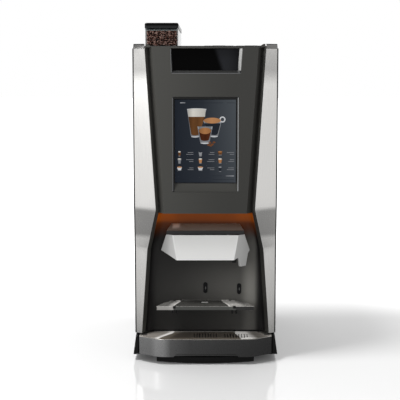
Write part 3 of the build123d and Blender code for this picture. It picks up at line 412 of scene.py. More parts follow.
def hood_plastic():
    """Taupe hood roof with a dark front edge and a painted glint at its left end."""
    s = Shader("hood_plastic")
    across, height = s.axis("X"), s.axis("Z")
    tone = s.mix(s.noise(12.0, 3.0), (0.20, 0.205, 0.19), (0.29, 0.295, 0.275))
    # painted highlight at the left end of the roof
    glint = s.times(s.window(across, -0.098, -0.090), s.window(across, -0.066, -0.084),
                    s.window(height, 0.382, 0.388))
    tone = s.mix(glint, tone, (0.85, 0.84, 0.80))
    roof = s.window(height, 0.3795, 0.3815)
    s.set(Base_Color=s.mix(roof, (0.008, 0.008, 0.008), tone),
          Roughness=s.between(s.noise(50.0, 4.0), 0.28, 0.42))
    s.grain()
    return s.material


def cover_plastic():
    """Satin white cover with painted light: a front facet paler than the sides and paler towards
    its foot, painted highlights on the fold lines, painted shade on the side facets.
    """
    s = Shader("cover_plastic")
    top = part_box("spout_cover")[1].z
    fold = s.plus(s.slant(top, 0.1693), 0.093)
    out = s.minus(s.off_centre(), fold)
    # painted shade on the side facets beyond the folds, painted highlights along the folds
    side = s.window(out, -0.6 * MM, 0.6 * MM)
    crease_highlight = s.times(s.window(out, -4 * MM, -1 * MM), s.window(out, 2 * MM, 0.0), 0.6)
    # painted light: the front facet paler towards its foot
    lower = s.window(s.axis("Z"), top - 2.5 * MM, 0.300)
    front = s.mix(lower, (0.78, 0.78, 0.765), (0.92, 0.92, 0.905))
    tone = s.mix(side, front, (0.60, 0.60, 0.59))
    tone = s.mix(crease_highlight, tone, (0.95, 0.95, 0.94))
    funnel = s.window(s.axis("X"), 0.078, 0.082)
    hem = s.times(s.window(s.axis("Z"), 0.3005, 0.2995), s.minus(1.0, funnel))
    tone = s.mix(hem, tone, (0.97, 0.97, 0.96))
    s.set(Base_Color=s.mix(s.edge_mask(0.9 * MM), tone, (0.9, 0.9, 0.88)),
          Roughness=s.between(s.noise(23.0, 5.0), 0.28, 0.42))
    s.grain(700.0, 0.3, 0.04 * MM)
    return s.material


def winged_steel(name, depth, left_fold, right_fold, centre, painted_wing_light, lip_y, gain=1.0):
    """Polished plate: dark field between two slanting folds, satin wings beside it painted bright
    as a reflection.

    Each fold holds its distance from the middle at the front and at the back of the plate.
    The lip is the plate's front edge, in painted light and shade: pale at the left, dim between
    the pads, black at the right.
    """
    s = Shader(name)
    deep = s.axis("Y")
    share = s.window(deep, *depth)
    right = s.window(s.axis("X"), -0.01, 0.01)
    fold = s.mix(right, s.between(share, *left_fold), s.between(share, *right_fold))
    out = s.minus(s.off_centre(), fold)
    # painted reflection: the wings beside the folds bright, fading outwards and broken by streaks;
    # painted highlights along the folds
    side = s.window(out, -1.2 * MM, 1.2 * MM)
    crease_highlight = s.times(s.window(out, -3.5 * MM, -1 * MM), s.window(out, 4 * MM, 1 * MM))
    fading = s.mix(right, s.window(out, 0.004, 0.020, 1.0, 0.24),
                   s.window(out, 0.026, 0.052, 0.95, 0.22))
    lines = s.noise(1.0, 3.0, s.stretched((9.0, 420.0, 9.0)), 0.6)
    bright = s.times(side, fading, s.window(lines, 0.30, 0.50, 0.45, 1.0))
    # painted highlights: pale strips along the front and back edges
    front_strip = s.window(deep, lip_y + 6.2 * MM, lip_y + 5 * MM)
    back_strip = s.window(deep, depth[1] - 8 * MM, depth[1] - 6.5 * MM, 0.0, 0.5)
    tone = s.mix(s.times(bright, min(1.0, gain)), centre, painted_wing_light)
    tone = s.mix(crease_highlight, tone, painted_wing_light)
    tone = s.mix(s.times(s.plus(front_strip, back_strip), 0.55), tone, painted_wing_light)

    # painted light and shade on the lip: pale at the left, dim between the pads, black at the
    # right
    past_left_pad = s.window(s.axis("X"), -0.0905, -0.0900)
    past_right_pad = s.window(s.axis("X"), 0.0855, 0.0860)
    lip_tone = s.mix(past_left_pad, toned(painted_wing_light, 0.5), (0.085, 0.087, 0.080))
    lip_tone = s.mix(past_right_pad, lip_tone, (0.012, 0.012, 0.012))
    tone = s.mix(s.window(deep, lip_y + 1.2 * MM, lip_y), tone, lip_tone)
    streak = s.noise(1.0, 4.0, s.stretched((14.0, 700.0, 700.0)), 0.7)
    # the wings also glow with painted light
    s.set(Base_Color=s.mix(s.between(streak, 0.0, 0.3), tone, (0.05, 0.045, 0.04)),
          Roughness=s.between(streak, 0.12, 0.28), Metallic=0.25, Specular_IOR_Level=0.8,
          Emission_Color=tone, Emission_Strength=s.times(bright, 0.22 * gain))
    s.relief(streak, 0.1, 0.04 * MM)
    return s.material


def tray_plastic():
    """Drip tray: dark semi-gloss front with a painted highlight on its left, and a metal-grey rim
    on top painted pale as a reflection.
    """
    s = Shader("tray_plastic")
    low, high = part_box("drip_tray")
    # painted highlight: the front paler on its left, brightest at the bend
    painted_sheen = ((0.0, 0.42), (0.09, 0.42), (0.13, 0.60), (0.185, 0.60), (0.24, 0.24), (0.38, 0.14),
             (1.0, 0.08))
    body = s.ramp(s.spread(s.axis("X"), low.x, high.x), painted_sheen)
    body = s.mix(s.between(s.noise(9.0, 4.0), 0.0, 0.3), body, (0.05, 0.05, 0.05))
    # painted reflection: the top rim paler
    rim = s.window(s.axis("Z"), high.z - 1.2 * MM, high.z - 0.5 * MM)
    streak = s.noise(260.0, 3.0)
    s.set(Base_Color=s.mix(rim, body, (0.50, 0.48, 0.45)), Metallic=0.9,
          Roughness=s.between(streak, 0.22, 0.36), Specular_IOR_Level=0.45)
    s.relief(streak, 0.03, 0.04 * MM)
    return s.material


def smoked_lid():
    """Smoked lid: black on top, its skirt paler and cloudy towards the hopper, its lowest edge
    painted pale as a highlight.
    """
    s = Shader("smoked_lid")
    ragged = s.plus(s.axis("Z"), s.between(s.noise(60.0, 3.0), -0.8 * MM, 0.8 * MM))
    skirt = s.window(ragged, 0.9600, 0.9530)
    # painted highlight: the lowest edge pale
    plug_highlight = s.window(ragged, 0.9460, 0.9450)
    tone = s.mix(skirt, (0.001, 0.001, 0.001), (0.026, 0.027, 0.028))
    s.set(Base_Color=s.mix(plug_highlight, tone, (0.45, 0.46, 0.46)),
          Roughness=s.between(s.noise(25.0, 5.0), 0.14, 0.3), Specular_IOR_Level=0.08)
    return s.material


def bean_material():
    """Roasted coffee: dark brown with random near-black patches, and pale pinkish patches painted
    as highlights.
    """
    s = Shader("roasted_bean")
    # near black, brown and pale pink; the pale pink patches are painted highlights
    roast_and_highlights = ((0.38, (0.02, 0.005, 0.003)), (0.5, (0.17, 0.055, 0.036)),
             (0.60, (0.85, 0.52, 0.44)))
    s.set(Base_Color=s.ramp(s.noise(160.0, 3.0), roast_and_highlights),
          Roughness=s.between(s.noise(700.0, 3.0), 0.25, 0.5), Specular_IOR_Level=0.25)
    s.relief(s.noise(900.0, 4.0), 0.4, 0.1 * MM)
    return s.material


# ------------------------------------------------------------------ dressing the CAD nodes
def make_materials():
    """The material of each slot."""
    return {
        "door_plastic": moulded("door_plastic", FACE_COLOUR, 0.42, worn=2.2, shine=0.3,
                                painted_left_light=1.45),
        "liner_plastic": alcove_plastic(),
        "black_plastic": moulded("black_plastic", (0.008, 0.008, 0.008), 0.42, shine=0.2),
        "dark_steel": powder_coat("dark_steel", (0.022, 0.022, 0.023)),
        "bright_trim": brushed("bright_trim", (0.82, 0.81, 0.79), 0.22, shade=trim_painted_shade),
        "polished_steel": brushed("polished_steel", (0.58, 0.55, 0.52), 0.16, 0, 0.12),
        "zinc_sheet": brushed("zinc_sheet", (0.60, 0.61, 0.62), 0.42, 0, 0.1, 0.15),
        "gloss_black": header_glass(),
        "satin_white": moulded("satin_white", (0.80, 0.79, 0.77), 0.34, 700.0, 0.04 * MM, 1.12,
                               coat=0.1),
        "amber_led": lit("amber_led", (1.0, 0.30, 0.03), 0.6),
        "sensor_black": gloss("sensor_black", (0.004, 0.004, 0.005), 0.10),
        "clear_plastic": clear_plastic("clear_plastic", haze=0.02),
        "bezel_grey": brushed("bezel_grey", (0.42, 0.42, 0.41), 0.34, 2, 0.1),
        "steel_parts": brushed("steel_parts", (0.55, 0.55, 0.55), 0.35, 1, 0.15),
        "white_nylon": moulded("white_nylon", (0.72, 0.72, 0.70), 0.45, 600.0, 0.04 * MM, 1.1),
        "silicone": moulded("silicone", (0.62, 0.60, 0.56), 0.5, 500.0, 0.03 * MM, 1.1),
        "brass_fitting": brushed("brass_fitting", (0.72, 0.55, 0.27), 0.28, 1, 0.1),
        "board_green": moulded("board_green", (0.025, 0.14, 0.06), 0.35, 300.0, 0.1 * MM, 1.2),
        "foot_rubber": moulded("foot_rubber", (0.02, 0.02, 0.02), 0.7, 400.0, 0.1 * MM, 1.3),
        "screen_glass": clear_plastic("screen_glass", (0.97, 0.97, 0.98), 0.004),
    }


MATERIALS = make_materials()
NODE_MATERIALS = {
    "hopper_lid": smoked_lid(),
    "spout_cover": cover_plastic(),
    "header_bezel": header_frame(),
    "screen_bezel": screen_frame(),
    "spout_hood": hood_plastic(),
    "drip_tray": tray_plastic(),
    "drip_grid": winged_steel(
        "grid_steel", depth=(-0.293, -0.205), left_fold=(0.136, 0.092), right_fold=(0.104, 0.086),
        centre=(0.24, 0.205, 0.165), painted_wing_light=(0.97, 0.95, 0.92), lip_y=-0.300, gain=1.25),
    "cup_shelf": winged_steel(
        "shelf_steel", depth=(-0.288, -0.206), left_fold=(0.090, 0.070), right_fold=(0.068, 0.048),
        centre=(0.075, 0.074, 0.068), painted_wing_light=(0.95, 0.92, 0.88), lip_y=-0.2895, gain=0.62),
}
EDGE_RADII = {  # millimetres, for the nodes whose edges are seen
    "trim_left": 0.5, "trim_right": 0.5, "door_shell": 0.8, "door_frame": 0.4,
    "screen_bezel": 0.5, "header_bezel": 0.5, "header_panel": 0.3, "spout_hood": 1.2,
    "spout_cover": 0.7, "cup_shelf": 0.5, "drip_tray": 1.4, "drip_grid": 0.4,
    "base_pan": 1.0, "plinth": 1.0, "side_panels": 0.4, "top_cover": 0.5,
    "shelf_brackets": 0.5, "touch_glass": 0.4, "back_panel": 0.3, "lock_cylinder": 0.3,
    "hopper_gate": 0.4, "mains_inlet": 0.4, "coffee_outlet": 0.5, "waste_bin": 0.8,
    "inlet_valve": 0.5, "bean_hopper": 0.6, "alcove_liner": 0.3, "powder_canisters": 0.8,
    "canister_lids": 0.6, "dosing_motors": 0.8, "brew_chamber": 0.8, "brewer_motor": 0.8,
}


def dress_cad_nodes():
    """Gives every CAD node its own material or its slot's, and softened edges where seen."""
    for row in frame["record"]["subparts"]:
        name = row["node"]
        node = NODES[name]
        node.data.materials.clear()
        node.data.materials.append(NODE_MATERIALS.get(name, MATERIALS[row["material_slot"]]))
        if name in EDGE_RADII:
            soften(node, EDGE_RADII[name] * MM)


def soften(obj, width):
    """Welds split corners, rounds sharp edges and evens the shading."""
    weld = obj.modifiers.new("weld", "WELD")
    weld.merge_threshold = 0.01 * MM
    bevel = rounded(obj, width)
    bevel.limit_method = "ANGLE"
    bevel.angle_limit = math.radians(28)
    bevel.miter_outer = "MITER_ARC"
    obj.modifiers.new("even_shading", "WEIGHTED_NORMAL")


def rounded(obj, width):
    bevel = obj.modifiers.new("round_edges", "BEVEL")
    bevel.width = width
    bevel.segments = 2
    return bevel


# ------------------------------------------------------------------ mesh helpers
def piece(name, shape, body, slot=None, material=None, smooth=False):
    """New visible mesh in the row frame, riding on a CAD body. A shape is (verts, faces).

    Its finish is that of a slot, or a material of its own.
    """
    verts, faces = shape
    mesh = bpy.data.meshes.new(name)
    mesh.from_pydata(verts, [], faces)
    mesh.update()
    work = bmesh.new()
    work.from_mesh(mesh)
    bmesh.ops.recalc_face_normals(work, faces=work.faces)
    work.to_mesh(mesh)
    work.free()
    for polygon in mesh.polygons:
        polygon.use_smooth = smooth
    obj = bpy.data.objects.new(name, mesh)
    bpy.context.scene.collection.objects.link(obj)
    mesh.materials.append(material or MATERIALS[slot])
    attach(obj, body)
    return obj


def slab(outline, front, back, place):
    """Closed flat plate: outline of (u, v) between two depths, put through place()."""
    count = len(outline)
    verts = [place(u, v, depth) for depth in (front, back) for u, v in outline]
    faces = [list(range(count)), list(reversed(range(count, 2 * count)))]
    for i in range(count):
        j = (i + 1) % count
        faces.append([i, j, j + count, i + count])
    return verts, faces


def ring_slab(outer, inner, front, back, place):
    """Closed flat ring between two outlines with the same number of points."""
    count = len(outer)
    verts = [place(u, v, depth) for depth in (front, back) for u, v in outer + inner]
    faces = []
    for i in range(count):
        j = (i + 1) % count
        faces.append([i, j, j + count, i + count])
        faces.append([i + 2 * count, i + 3 * count, j + 3 * count, j + 2 * count])
        faces.append([i, i + 2 * count, j + 2 * count, j])
        faces.append([i + count, j + count, j + 3 * count, i + 3 * count])
    return verts, faces


def joined(shapes):
    """Merges several (verts, faces) into one."""
    verts, faces = [], []
    for shape_verts, shape_faces in shapes:
        base = len(verts)
        verts += shape_verts
        faces += [[i + base for i in face] for face in shape_faces]
    return verts, faces


def rectangle(u0, v0, u1, v1):
    return [(u1, v1), (u0, v1), (u0, v0), (u1, v0)]


def oval(u, v, ru, rv, steps=28, start=0.0, end=360.0):
    """Points round an ellipse, or along a part of it with both its ends."""
    points = []
    full = end - start >= 360.0
    for i in range(steps if full else steps + 1):
        angle = math.radians(start + (end - start) * i / steps)
        points.append((u + ru * math.cos(angle), v + rv * math.sin(angle)))
    return points


def capsule(u, v, ru, rv, steps=20):
    """Upright slot with round ends."""
    points = []
    for i in range(steps):
        angle = math.tau * i / steps
        end = rv - ru if math.sin(angle) >= 0 else ru - rv
        points.append((u + ru * math.cos(angle), v + ru * math.sin(angle) + end))
    return points


def tapered(u0, u1, v_top, v0, v1, v_low, steps=10):
    """Cup outline: flat top from u0 to u1, straight sides, rounded foot from v0 to v1."""
    half = (v1 - v0) / 2
    rise = half * 0.35
    foot = oval((v0 + v1) / 2, v_low + rise, half, rise, steps, 180, 360)
    return [(u1, v_top), (u0, v_top)] + foot


def block(name, x, y, z, body, slot, edge=0.8):
    """Block between two corners (millimetres) with rounded edges."""
    verts = [Vector((u, v, w)) * MM for w in z for v in y for u in x]
    faces = [[0, 1, 3, 2], [4, 6, 7, 5], [0, 4, 5, 1], [2, 3, 7, 6], [0, 2, 6, 4], [1, 5, 7, 3]]
    rounded(piece(name, (verts, faces), body, slot), edge * MM)


def turned(profile, steps, origin, axis, turn=0.0):
    """Revolved closed shape: profile of (radius, height) in millimetres, rim to centre."""
    aim = Vector((0, 0, 1)).rotation_difference(Vector(axis)).to_matrix()
    verts, faces = [], []
    for radius, height in profile:
        for step in range(steps):
            angle = math.tau * step / steps + turn
            local = Vector((radius * math.cos(angle), radius * math.sin(angle), height))
            verts.append(Vector(origin) * MM + aim @ (local * MM))
    for ring in range(len(profile) - 1):
        for step in range(steps):
            after = (step + 1) % steps
            first, second = ring * steps, (ring + 1) * steps
            faces.append([first + step, first + after, second + after, second + step])
    faces.append([(len(profile) - 1) * steps + step for step in range(steps)])
    faces.append([steps - 1 - step for step in range(steps)])
    return verts, faces


# ------------------------------------------------------------------ screen picture
def screen_place():
    """Puts (u, v, depth) in millimetres on the glass: right, up, and into the glass."""
    low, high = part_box("touch_glass")
    centre = (low + high) / 2
    half_thick = 1.5
    turn = Matrix.Rotation(-FACE_LEAN, 4, "X")

    def place(u, v, depth):
        return centre + turn @ (Vector((u, depth - half_thick, v)) * MM)

    return place


def display_inks():
    """Lit colours of the picture; the shades across each stand for its roundness."""
    glassy = ((0.0, 0.95), (0.12, 0.35), (0.5, 0.55), (0.86, 0.4), (1.0, 1.0))
    liquid = ((0.0, 0.45), (0.3, 1.0), (0.55, 0.8), (0.8, 1.25), (1.0, 0.5))
    milky = ((0.0, 0.6), (0.3, 1.1), (1.0, 0.75))
    tan = ((0.0, 0.7), (0.5, 1.0), (1.0, 0.8))
    crema = ((0.0, 0.6), (0.5, 1.0), (1.0, 0.7))
    inks = {
        "foam": ((0.55, 0.53, 0.48), 500, milky),
        "latte": ((0.115, 0.048, 0.016), 300, liquid),
        "tan": ((0.42, 0.20, 0.085), 400, tan),
        "espresso": ((0.060, 0.016, 0.006), 300, liquid),
        "crema": ((0.36, 0.16, 0.06), 400, crema),
        "rim": ((0.36, 0.37, 0.39), 200, glassy),
        "pale": ((0.50, 0.51, 0.52), 200),
        "shade": ((0.014, 0.017, 0.023), 200),
        "line": ((0.23, 0.235, 0.245), 200),
        "bean": ((0.13, 0.05, 0.02), 500),
    }
    made = {"slate": screen_background()}
    for name, (colour, *rest) in inks.items():
        made[name] = lit("ink_" + name, colour, 1.0, *rest)
    return made


def screen_picture():
    """Generic drinks picture and menu behind the glass. No lettering, only cups and bars.

    Each layer lies at its own depth behind the face of the glass.
    """
    place = screen_place()
    inks = display_inks()
    ink_thick = 0.15

    def draw(name, ink, *outlines, depth):
        shapes = [slab(points, depth, depth + ink_thick, place) for points in outlines]
        piece(name, joined(shapes), "door", "screen_glass", inks[ink])

    draw("screen_backdrop", "slate", rectangle(-85, -115.5, 85, 115.5), depth=2.4)

    draw("picture_tall_glass", "rim", tapered(-51, 3, 90, -41, -17, 12), depth=2.2)
    draw("picture_latte", "latte", tapered(-48, 0, 71, -39.5, -18, 16), depth=2.0)
    draw("picture_foam", "foam", [(0.5, 87), (-49.5, 87), (-47.5, 68), (-1, 68)], depth=1.8)
    draw("picture_tall_rim", "pale", oval(-24, 88.5, 26.5, 3.0), depth=1.75)
    draw("picture_tall_milk", "foam", oval(-24, 88.2, 24.5, 2.2), depth=1.7)
    draw("picture_tall_foot", "pale", oval(-28.5, 13.5, 11.5, 3.0, 16, 180, 360), depth=1.7)

    draw("picture_cup", "rim", tapered(-6, 45, 57, 12, 36, 13), depth=1.95)
    draw("picture_cup_inner", "shade", tapered(-3.5, 42.5, 50, 14, 34, 17), depth=1.8)
    draw("picture_cup_coffee", "tan", oval(19, 57.5, 24, 8), depth=1.6)
    draw("picture_cup_foot", "pale", oval(24, 14.5, 11, 3.4, 16, 180, 360), depth=1.6)
    u, v = 47.5, 60.5
    handle = ring_slab(oval(u, v, 8.5, 8.5, 24), oval(u, v, 5.0, 5.0, 24), 1.7, 1.85, place)
    piece("picture_cup_handle", handle, "door", "screen_glass", inks["pale"])

    draw("picture_espresso_glass", "rim", tapered(-22, 20, 41, -15, 12, -6), depth=1.4)
    draw("picture_espresso", "espresso", tapered(-19.5, 17.5, 33, -13, 10, 1), depth=1.2)
    draw("picture_crema", "crema", oval(-1, 29, 17, 9), depth=1.0)
    draw("picture_espresso_foot", "pale", oval(-1.5, -4, 12.5, 3.6, 16, 180, 360), depth=1.0)
    bean_spots = ((12, -4), (19, -9), (24, -3), (15, -12), (9, -10))
    draw("picture_beans", "bean", *[oval(u, v, 4.2, 2.9, 14) for u, v in bean_spots], depth=1.0)

    menu_icons(draw)
    painted_edge_highlights(draw)


def menu_icons(draw):
    """Three by three small cups, each with short bars in place of words."""
    columns = (-72.5, -14.0, 41.0)
    rows = (-33.0, -53.0, -76.0)
    kinds = ((("foam", "latte"), ("shade", "line"), ("crema", "latte")),
             (("foam", "rim"), ("foam", "tan"), ("foam", "crema")),
             (("tan", "pale"), ("tan", "pale"), ("line", "shade")))
    half_widths = ((4.0, 5.0, 6.5), (5.0, 5.0, 5.5), (7.0, 7.5, 4.5))
    low, high = 1.8, 1.6  # depths of a cup, and of its top and foot in front of it
    bars = []
    for r, v in enumerate(rows):
        for c, u in enumerate(columns):
            half = half_widths[r][c]
            tall = 8.5 if half < 6 else 5.5
            foot = half * 0.62
            top, body = kinds[r][c]
            name = "menu_cup_%d%d" % (r + 1, c + 1)
            cup = tapered(u - half, u + half, v + 3.5, u - foot, u + foot, v - tall, 6)
            draw(name, body, cup, depth=low)
            draw(name + "_top", top, oval(u, v + 3.6, half * 0.96, 2.0, 14), depth=high)
            draw(name + "_foot", "rim", oval(u, v - tall, half * 0.8, 1.0, 10), depth=high)
            for step in range(2):
                left = u + 19 + 4 * ((c + 2 * r + step) % 3)
                bar_low = v - 4.0 + step * 5.0
                bars.append(rectangle(left, bar_low, u + 39, bar_low + 1.1))
    draw("menu_bars", "line", *bars, depth=low)
    marks = rectangle(57, -98, 80, -96), rectangle(-70, 105.5, -56, 108)
    draw("menu_marks", "rim", *marks, depth=low)
    rules = ((106, -40, 50), (106, 60, 82), (-97, 20, 46), (-107, -80, -46), (-108, 20, 80))
    rules = [rectangle(left, rule_low, right, rule_low + 0.9) for rule_low, left, right in rules]
    draw("menu_rules", "shade", *rules, depth=low)


def painted_edge_highlights(draw):
    """Thin pale glowing lines painted as edge highlights on the surrounds of the screen and the
    header.
    """
    proud = -7.05  # in front of the glass, on the face of the surround
    header = 226.0  # the header's middle above the screen's
    draw("screen_edge_right", "pale", rectangle(90.2, -139, 91.4, 121), depth=proud)
    draw("screen_edge_left", "line", rectangle(-91.4, -139, -90.6, 121), depth=proud)
    low_edge = rectangle(-93, header - 38.6, 97, header - 37.8)
    left_edge = [(-93.6, header - 36), (-94.4, header - 36), (-96.4, header + 28),
                 (-95.6, header + 28)]
    draw("header_edge_low", "line", low_edge, left_edge, depth=proud)


# ------------------------------------------------------------------ small parts
def shelf_parts():
    """White spot painted on the shelf as a reflection, front pads and ribs of the folding cup
    shelf.
    """
    def place(u, v, depth):
        return Vector((u, v, depth)) * MM

    # white spot painted as a reflection on the shelf
    highlight_spot = slab(oval(-2, -236, 10, 5, 24), 168.4, 168.75, place)
    piece("shelf_highlight_spot", highlight_spot, "cup_shelf", "satin_white")
    pad_half, pad_y, pad_z = 3.8, (-290.6, -282.5), (163.2, 169.6)
    rib_sides, rib_y, rib_z = ((-8.5, -3.0), (3.0, 8.5)), (-284.0, -226.0), (146.0, 166.4)
    for name, x in (("left", -88.0), ("right", 82.0)):
        block("shelf_pad_" + name, (x - pad_half, x + pad_half), pad_y, pad_z,
              "cup_shelf", "black_plastic")
        for number, (low, high) in enumerate(rib_sides, 1):
            block("shelf_rib_%s_%d" % (name, number), (x + low, x + high), rib_y, rib_z,
                  "cup_shelf", "black_plastic", 1.5)


def sensor_rings():
    """Black gaskets round the two cup sensors, and in each a paler oval painted as a glint on the
    lens.
    """
    low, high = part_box("sensor_lenses")
    half_w, half_h = 4.6, 15.1

    def place(u, v, depth):
        return Vector((u, low.y / MM + depth, v)) * MM

    # paler oval painted as a glint on each lens
    lens_glint = moulded("sensor_lens_glint", (0.10, 0.10, 0.095), 0.3)
    left, right = low.x / MM + half_w, high.x / MM - half_w
    for name, u, v in (("left", left, 204.0), ("right", right, 201.0)):
        outer = capsule(u, v, half_w + 1.4, half_h + 0.8)
        inner = capsule(u, v, half_w - 0.6, half_h - 0.6)
        gasket = ring_slab(outer, inner, -0.5, 1.5, place)
        piece("sensor_ring_" + name, gasket, "door", "sensor_black")
        window = slab(oval(u + 0.6, v - 1.0, 1.7, 4.5, 16), -0.2, 0.1, place)
        piece("sensor_lens_glint_" + name, window, "door", "sensor_black", lens_glint)


def screws(name, spots, axis, slot):
    """Domed socket screws at the given places (millimetres)."""
    profile = [(4.2, -0.5), (4.2, 0.3), (3.6, 0.9), (2.1, 1.3), (1.7, 1.3), (1.7, 0.3)]
    heads = [turned(profile, 18, spot, axis, 0.3 * i) for i, spot in enumerate(spots)]
    piece(name, joined(heads), "cabinet", slot)


def casing_details():
    """Screws, blank rear plate, powder filler flaps and rear seam of the casing."""
    back, side, top = 281.0, 202.5, 899.0  # faces of the casing
    rearward, upward = (0, 1, 0), (0, 0, 1)
    screws("back_screws", [(x, back, z) for x in (-191, 191) for z in (96, 345, 610, 868)],
           rearward, "steel_parts")
    for sign, name in ((-1, "left"), (1, "right")):
        spots = [(sign * side, y, z) for y in (-168, 262) for z in (98, 480, 866)]
        screws("side_screws_" + name, spots, (sign, 0, 0), "black_plastic")
    fan_x, fan_z, reach = -110, 730, 56.1
    spots = [(fan_x + reach * c, back, fan_z + reach * d) for c in (-1, 1) for d in (-1, 1)]
    screws("fan_screws", spots, rearward, "steel_parts")
    screws("top_screws", [(x, y, top) for x in (-190, 190) for y in (-172, 266)], upward,
           "black_plastic")

    block("blank_plate", (-20, 56), (back - 0.2, back + 0.5), (196, 236), "cabinet",
          "bezel_grey", 0.3)
    profile = [(1.8, -0.4), (1.8, 0.2), (1.0, 0.7)]
    spots = [(x, back + 0.5, z) for x in (-15, 51) for z in (201, 231)]
    rivets = joined([turned(profile, 12, spot, rearward) for spot in spots])
    piece("blank_plate_rivets", rivets, "cabinet", "steel_parts")
    block("lower_seam", (-199, 199), (back, back + 0.6), (88, 90.5), "cabinet",
          "black_plastic", 0.2)

    for number, x in enumerate((39, 131), 1):
        block("filler_flap_%d" % number, (x - 42, x + 42), (-150, 40), (top - 0.4, top + 1.6),
              "cabinet", "dark_steel")
        block("filler_flap_grip_%d" % number, (x - 18, x + 18), (-146, -139),
              (top + 1.4, top + 2.1), "cabinet", "black_plastic", 0.2)


# ------------------------------------------------------------------ coffee beans
def bean_mesh():
    """One coffee bean: half-flattened ellipsoid with a furrow along its flat side."""
    length, width, height = 5.2, 3.7, 3.4
    work = bmesh.new()
    bmesh.ops.create_uvsphere(work, u_segments=10, v_segments=7, radius=1.0)
    for vert in work.verts:
        x, y, z = vert.co
        furrow = 0.35 * math.exp(-(y * 5.0) ** 2) * max(0.0, z)
        flat = 0.62 if z > 0 else 0.80
        vert.co = Vector((x * length, y * width, (z * flat - furrow) * height)) * MM
    verts = [v.co.copy() for v in work.verts]
    faces = [[v.index for v in f.verts] for f in work.faces]
    work.free()
    return verts, faces


def steps_along(start, end, step):
    """Places from start to just before end."""
    while start < end:
        yield start
        start += step


def bean_places(x0, x1, y0, y1, floor, fill):
    """Places of the beans: rows round the walls, then a heaped layer on top."""
    reach = 5.4 * MM  # from a wall to a bean's middle
    step = 7.6 * MM
    rise = step * 0.8
    heap = 2.0 * MM
    places = []
    for row in range(int((fill - floor) / rise)):
        z = floor + reach + row * rise
        shift = (row % 2) * step / 2
        for x in steps_along(x0 + reach + shift, x1 - reach, step):
            places += [(x, y0 + reach, z), (x, y1 - reach, z)]
        for y in steps_along(y0 + reach + step + shift, y1 - reach, step):
            places += [(x0 + reach, y, z), (x1 - reach, y, z)]
    for y in steps_along(y0 + reach, y1 - reach, step):
        for x in steps_along(x0 + reach, x1 - reach, step):
            bump = heap * noise.noise(Vector((x * 40, y * 18, 0.3)))
            places.append((x, y, fill - reach + bump))
    return places


def coffee_beans():
    """Beans against the hopper's clear walls and in a heaped top layer, over a dark core."""
    low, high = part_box("bean_hopper")
    wall = 2.6 * MM
    x0, x1, y0, y1 = low.x + wall, high.x - wall, low.y + wall, high.y - wall
    fill, floor = high.z - 6.5 * MM, high.z - 50 * MM
    jitter = 0.42 * MM
    random.seed(7)
    bean_verts, bean_faces = bean_mesh()
    beans = []
    for spot in bean_places(x0, x1, y0, y1, floor, fill):
        turn = Matrix.Rotation(random.uniform(0, math.tau), 4, "X")
        turn = Matrix.Rotation(random.uniform(0, math.tau), 4, "Z") @ turn
        size = random.uniform(0.88, 1.02)
        spot = Vector(spot) + Vector([random.uniform(-jitter, jitter) for _ in range(3)])
        beans.append(([turn @ (v * size) + spot for v in bean_verts], bean_faces))
    roasted = bean_material()
    piece("coffee_beans", joined(beans), "bean_hopper", material=roasted, smooth=True)

    def place(u, v, depth):
        return Vector((u, v, depth))

    edge = 7.5 * MM
    outline = rectangle(x0 + edge, y0 + edge, x1 - edge, y1 - edge)
    core = slab(outline, floor + 0.8 * MM, fill - 8 * MM, place)
    piece("coffee_bean_core", core, "bean_hopper", material=roasted)


# ------------------------------------------------------------------ stage
def studio():
    """White room: world light by direction, pale floor, key light from the upper left."""
    world = bpy.data.worlds.new("studio")
    bpy.context.scene.world = world
    world.use_nodes = True
    room = Nodes(world.node_tree, "Generated")
    side = room.ramp(room.spread(room.axis("X"), -1.0, 1.0),
                     ((0.0, 1.06), (0.20, 0.96), (0.40, 0.54), (0.5, 0.46), (0.68, 0.48),
                      (0.85, 0.70), (1.0, 0.68)))
    high = room.ramp(room.axis("Z"), ((0.0, 1.0), (0.35, 1.0), (0.75, 0.5), (1.0, 0.4)))
    behind = room.ramp(room.axis("Y"), ((0.0, 0.0), (0.05, 0.0), (0.4, 1.0), (1.0, 1.0)))
    light = room.mix(behind, room.mix(1.0, side, high, "MULTIPLY"), (1.1, 1.1, 1.1))
    colour = room.mix(room.seen_directly(), light, (1.0, 1.0, 1.0))
    room.fill(world.node_tree.nodes["Background"], Color=colour)

    floor_mesh()
    add_light("key", (-1.25, -0.8, 3.6), size=1.0, power=110, target=(-0.05, 0.0, 0.35))
    add_light("fill", (2.8, -2.2, 1.8), size=1.6, power=8, target=(0.0, 0.0, 0.5))
    add_light("front", (-3.4, -3.0, 1.5), size=1.6, power=10, target=(0.0, 0.0, 0.45))


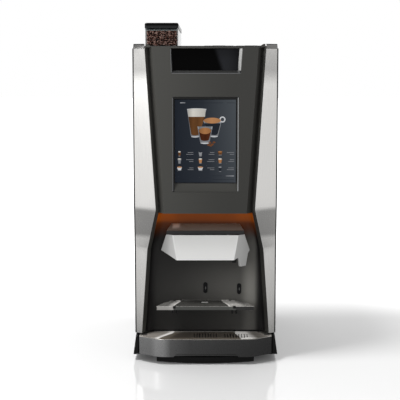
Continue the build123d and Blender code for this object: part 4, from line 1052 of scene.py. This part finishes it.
def floor_mesh():
    """Pale floor. It looks white and takes soft shadows; nearby it mirrors as mid grey."""
    size = 30.0
    mesh = bpy.data.meshes.new("studio_floor")
    corners = [(x, y, 0) for x, y in rectangle(-size, -size, size, size)]
    mesh.from_pydata(corners, [], [(0, 1, 2, 3)])
    floor = bpy.data.objects.new("studio_floor", mesh)
    bpy.context.scene.collection.objects.link(floor)

    s = Shader("pale_floor")
    length = s.add("ShaderNodeVectorMath", operation="LENGTH")
    s.put(s.place, length.inputs[0])
    away = length.outputs["Value"]
    far = s.window(away, 0.9, 2.6, 0.03, 0.6)
    behind = s.window(s.axis("Y"), 0.20, 0.55, 0.0, 0.42)
    s.set(Base_Color=(0.72, 0.72, 0.72), Roughness=0.10, Specular_IOR_Level=0.5,
          Emission_Color=(1.0, 1.0, 1.0), Emission_Strength=s.plus(far, behind))
    mirrored = s.plus(s.window(away, 0.5, 1.15, 0.26, 0.56), s.window(away, 1.3, 3.2, 0.0, 0.30))
    left = s.window(s.axis("X"), -0.6, 0.6, 1.10, 0.95)
    glow = s.fill(s.add("ShaderNodeEmission"), Strength=s.times(mirrored, left))
    s.surface(s.seen_directly(), glow.outputs[0], s.bsdf.outputs[0])
    mesh.materials.append(s.material)
    return floor


def add_light(name, spot, size, power, target):
    """Soft round lamp at a spot, aimed at a target."""
    data = bpy.data.lights.new(name, "AREA")
    data.shape = "DISK"
    data.size = size
    data.energy = power
    light = bpy.data.objects.new(name, data)
    light.location = spot
    aim = Vector(target) - Vector(spot)
    light.rotation_euler = aim.to_track_quat("-Z", "Y").to_euler()
    bpy.context.scene.collection.objects.link(light)


def camera():
    """Long lens from 2.9 m in front, a little below the machine's top, tilted down."""
    tilt_down = 7.5
    data = bpy.data.cameras.new("camera")
    data.sensor_width = 36.0
    data.lens = 85.86
    data.shift_x = -0.0135
    cam = bpy.data.objects.new("camera", data)
    cam.location = (0.0, -2.9196, 0.8186)
    cam.rotation_euler = (math.radians(90 - tilt_down), 0.0, 0.0)
    bpy.context.scene.collection.objects.link(cam)
    bpy.context.scene.camera = cam


dress_cad_nodes()
screen_picture()
shelf_parts()
casing_details()
sensor_rings()
coffee_beans()
studio()
camera()
bpy.context.scene.view_settings.view_transform = "Standard"
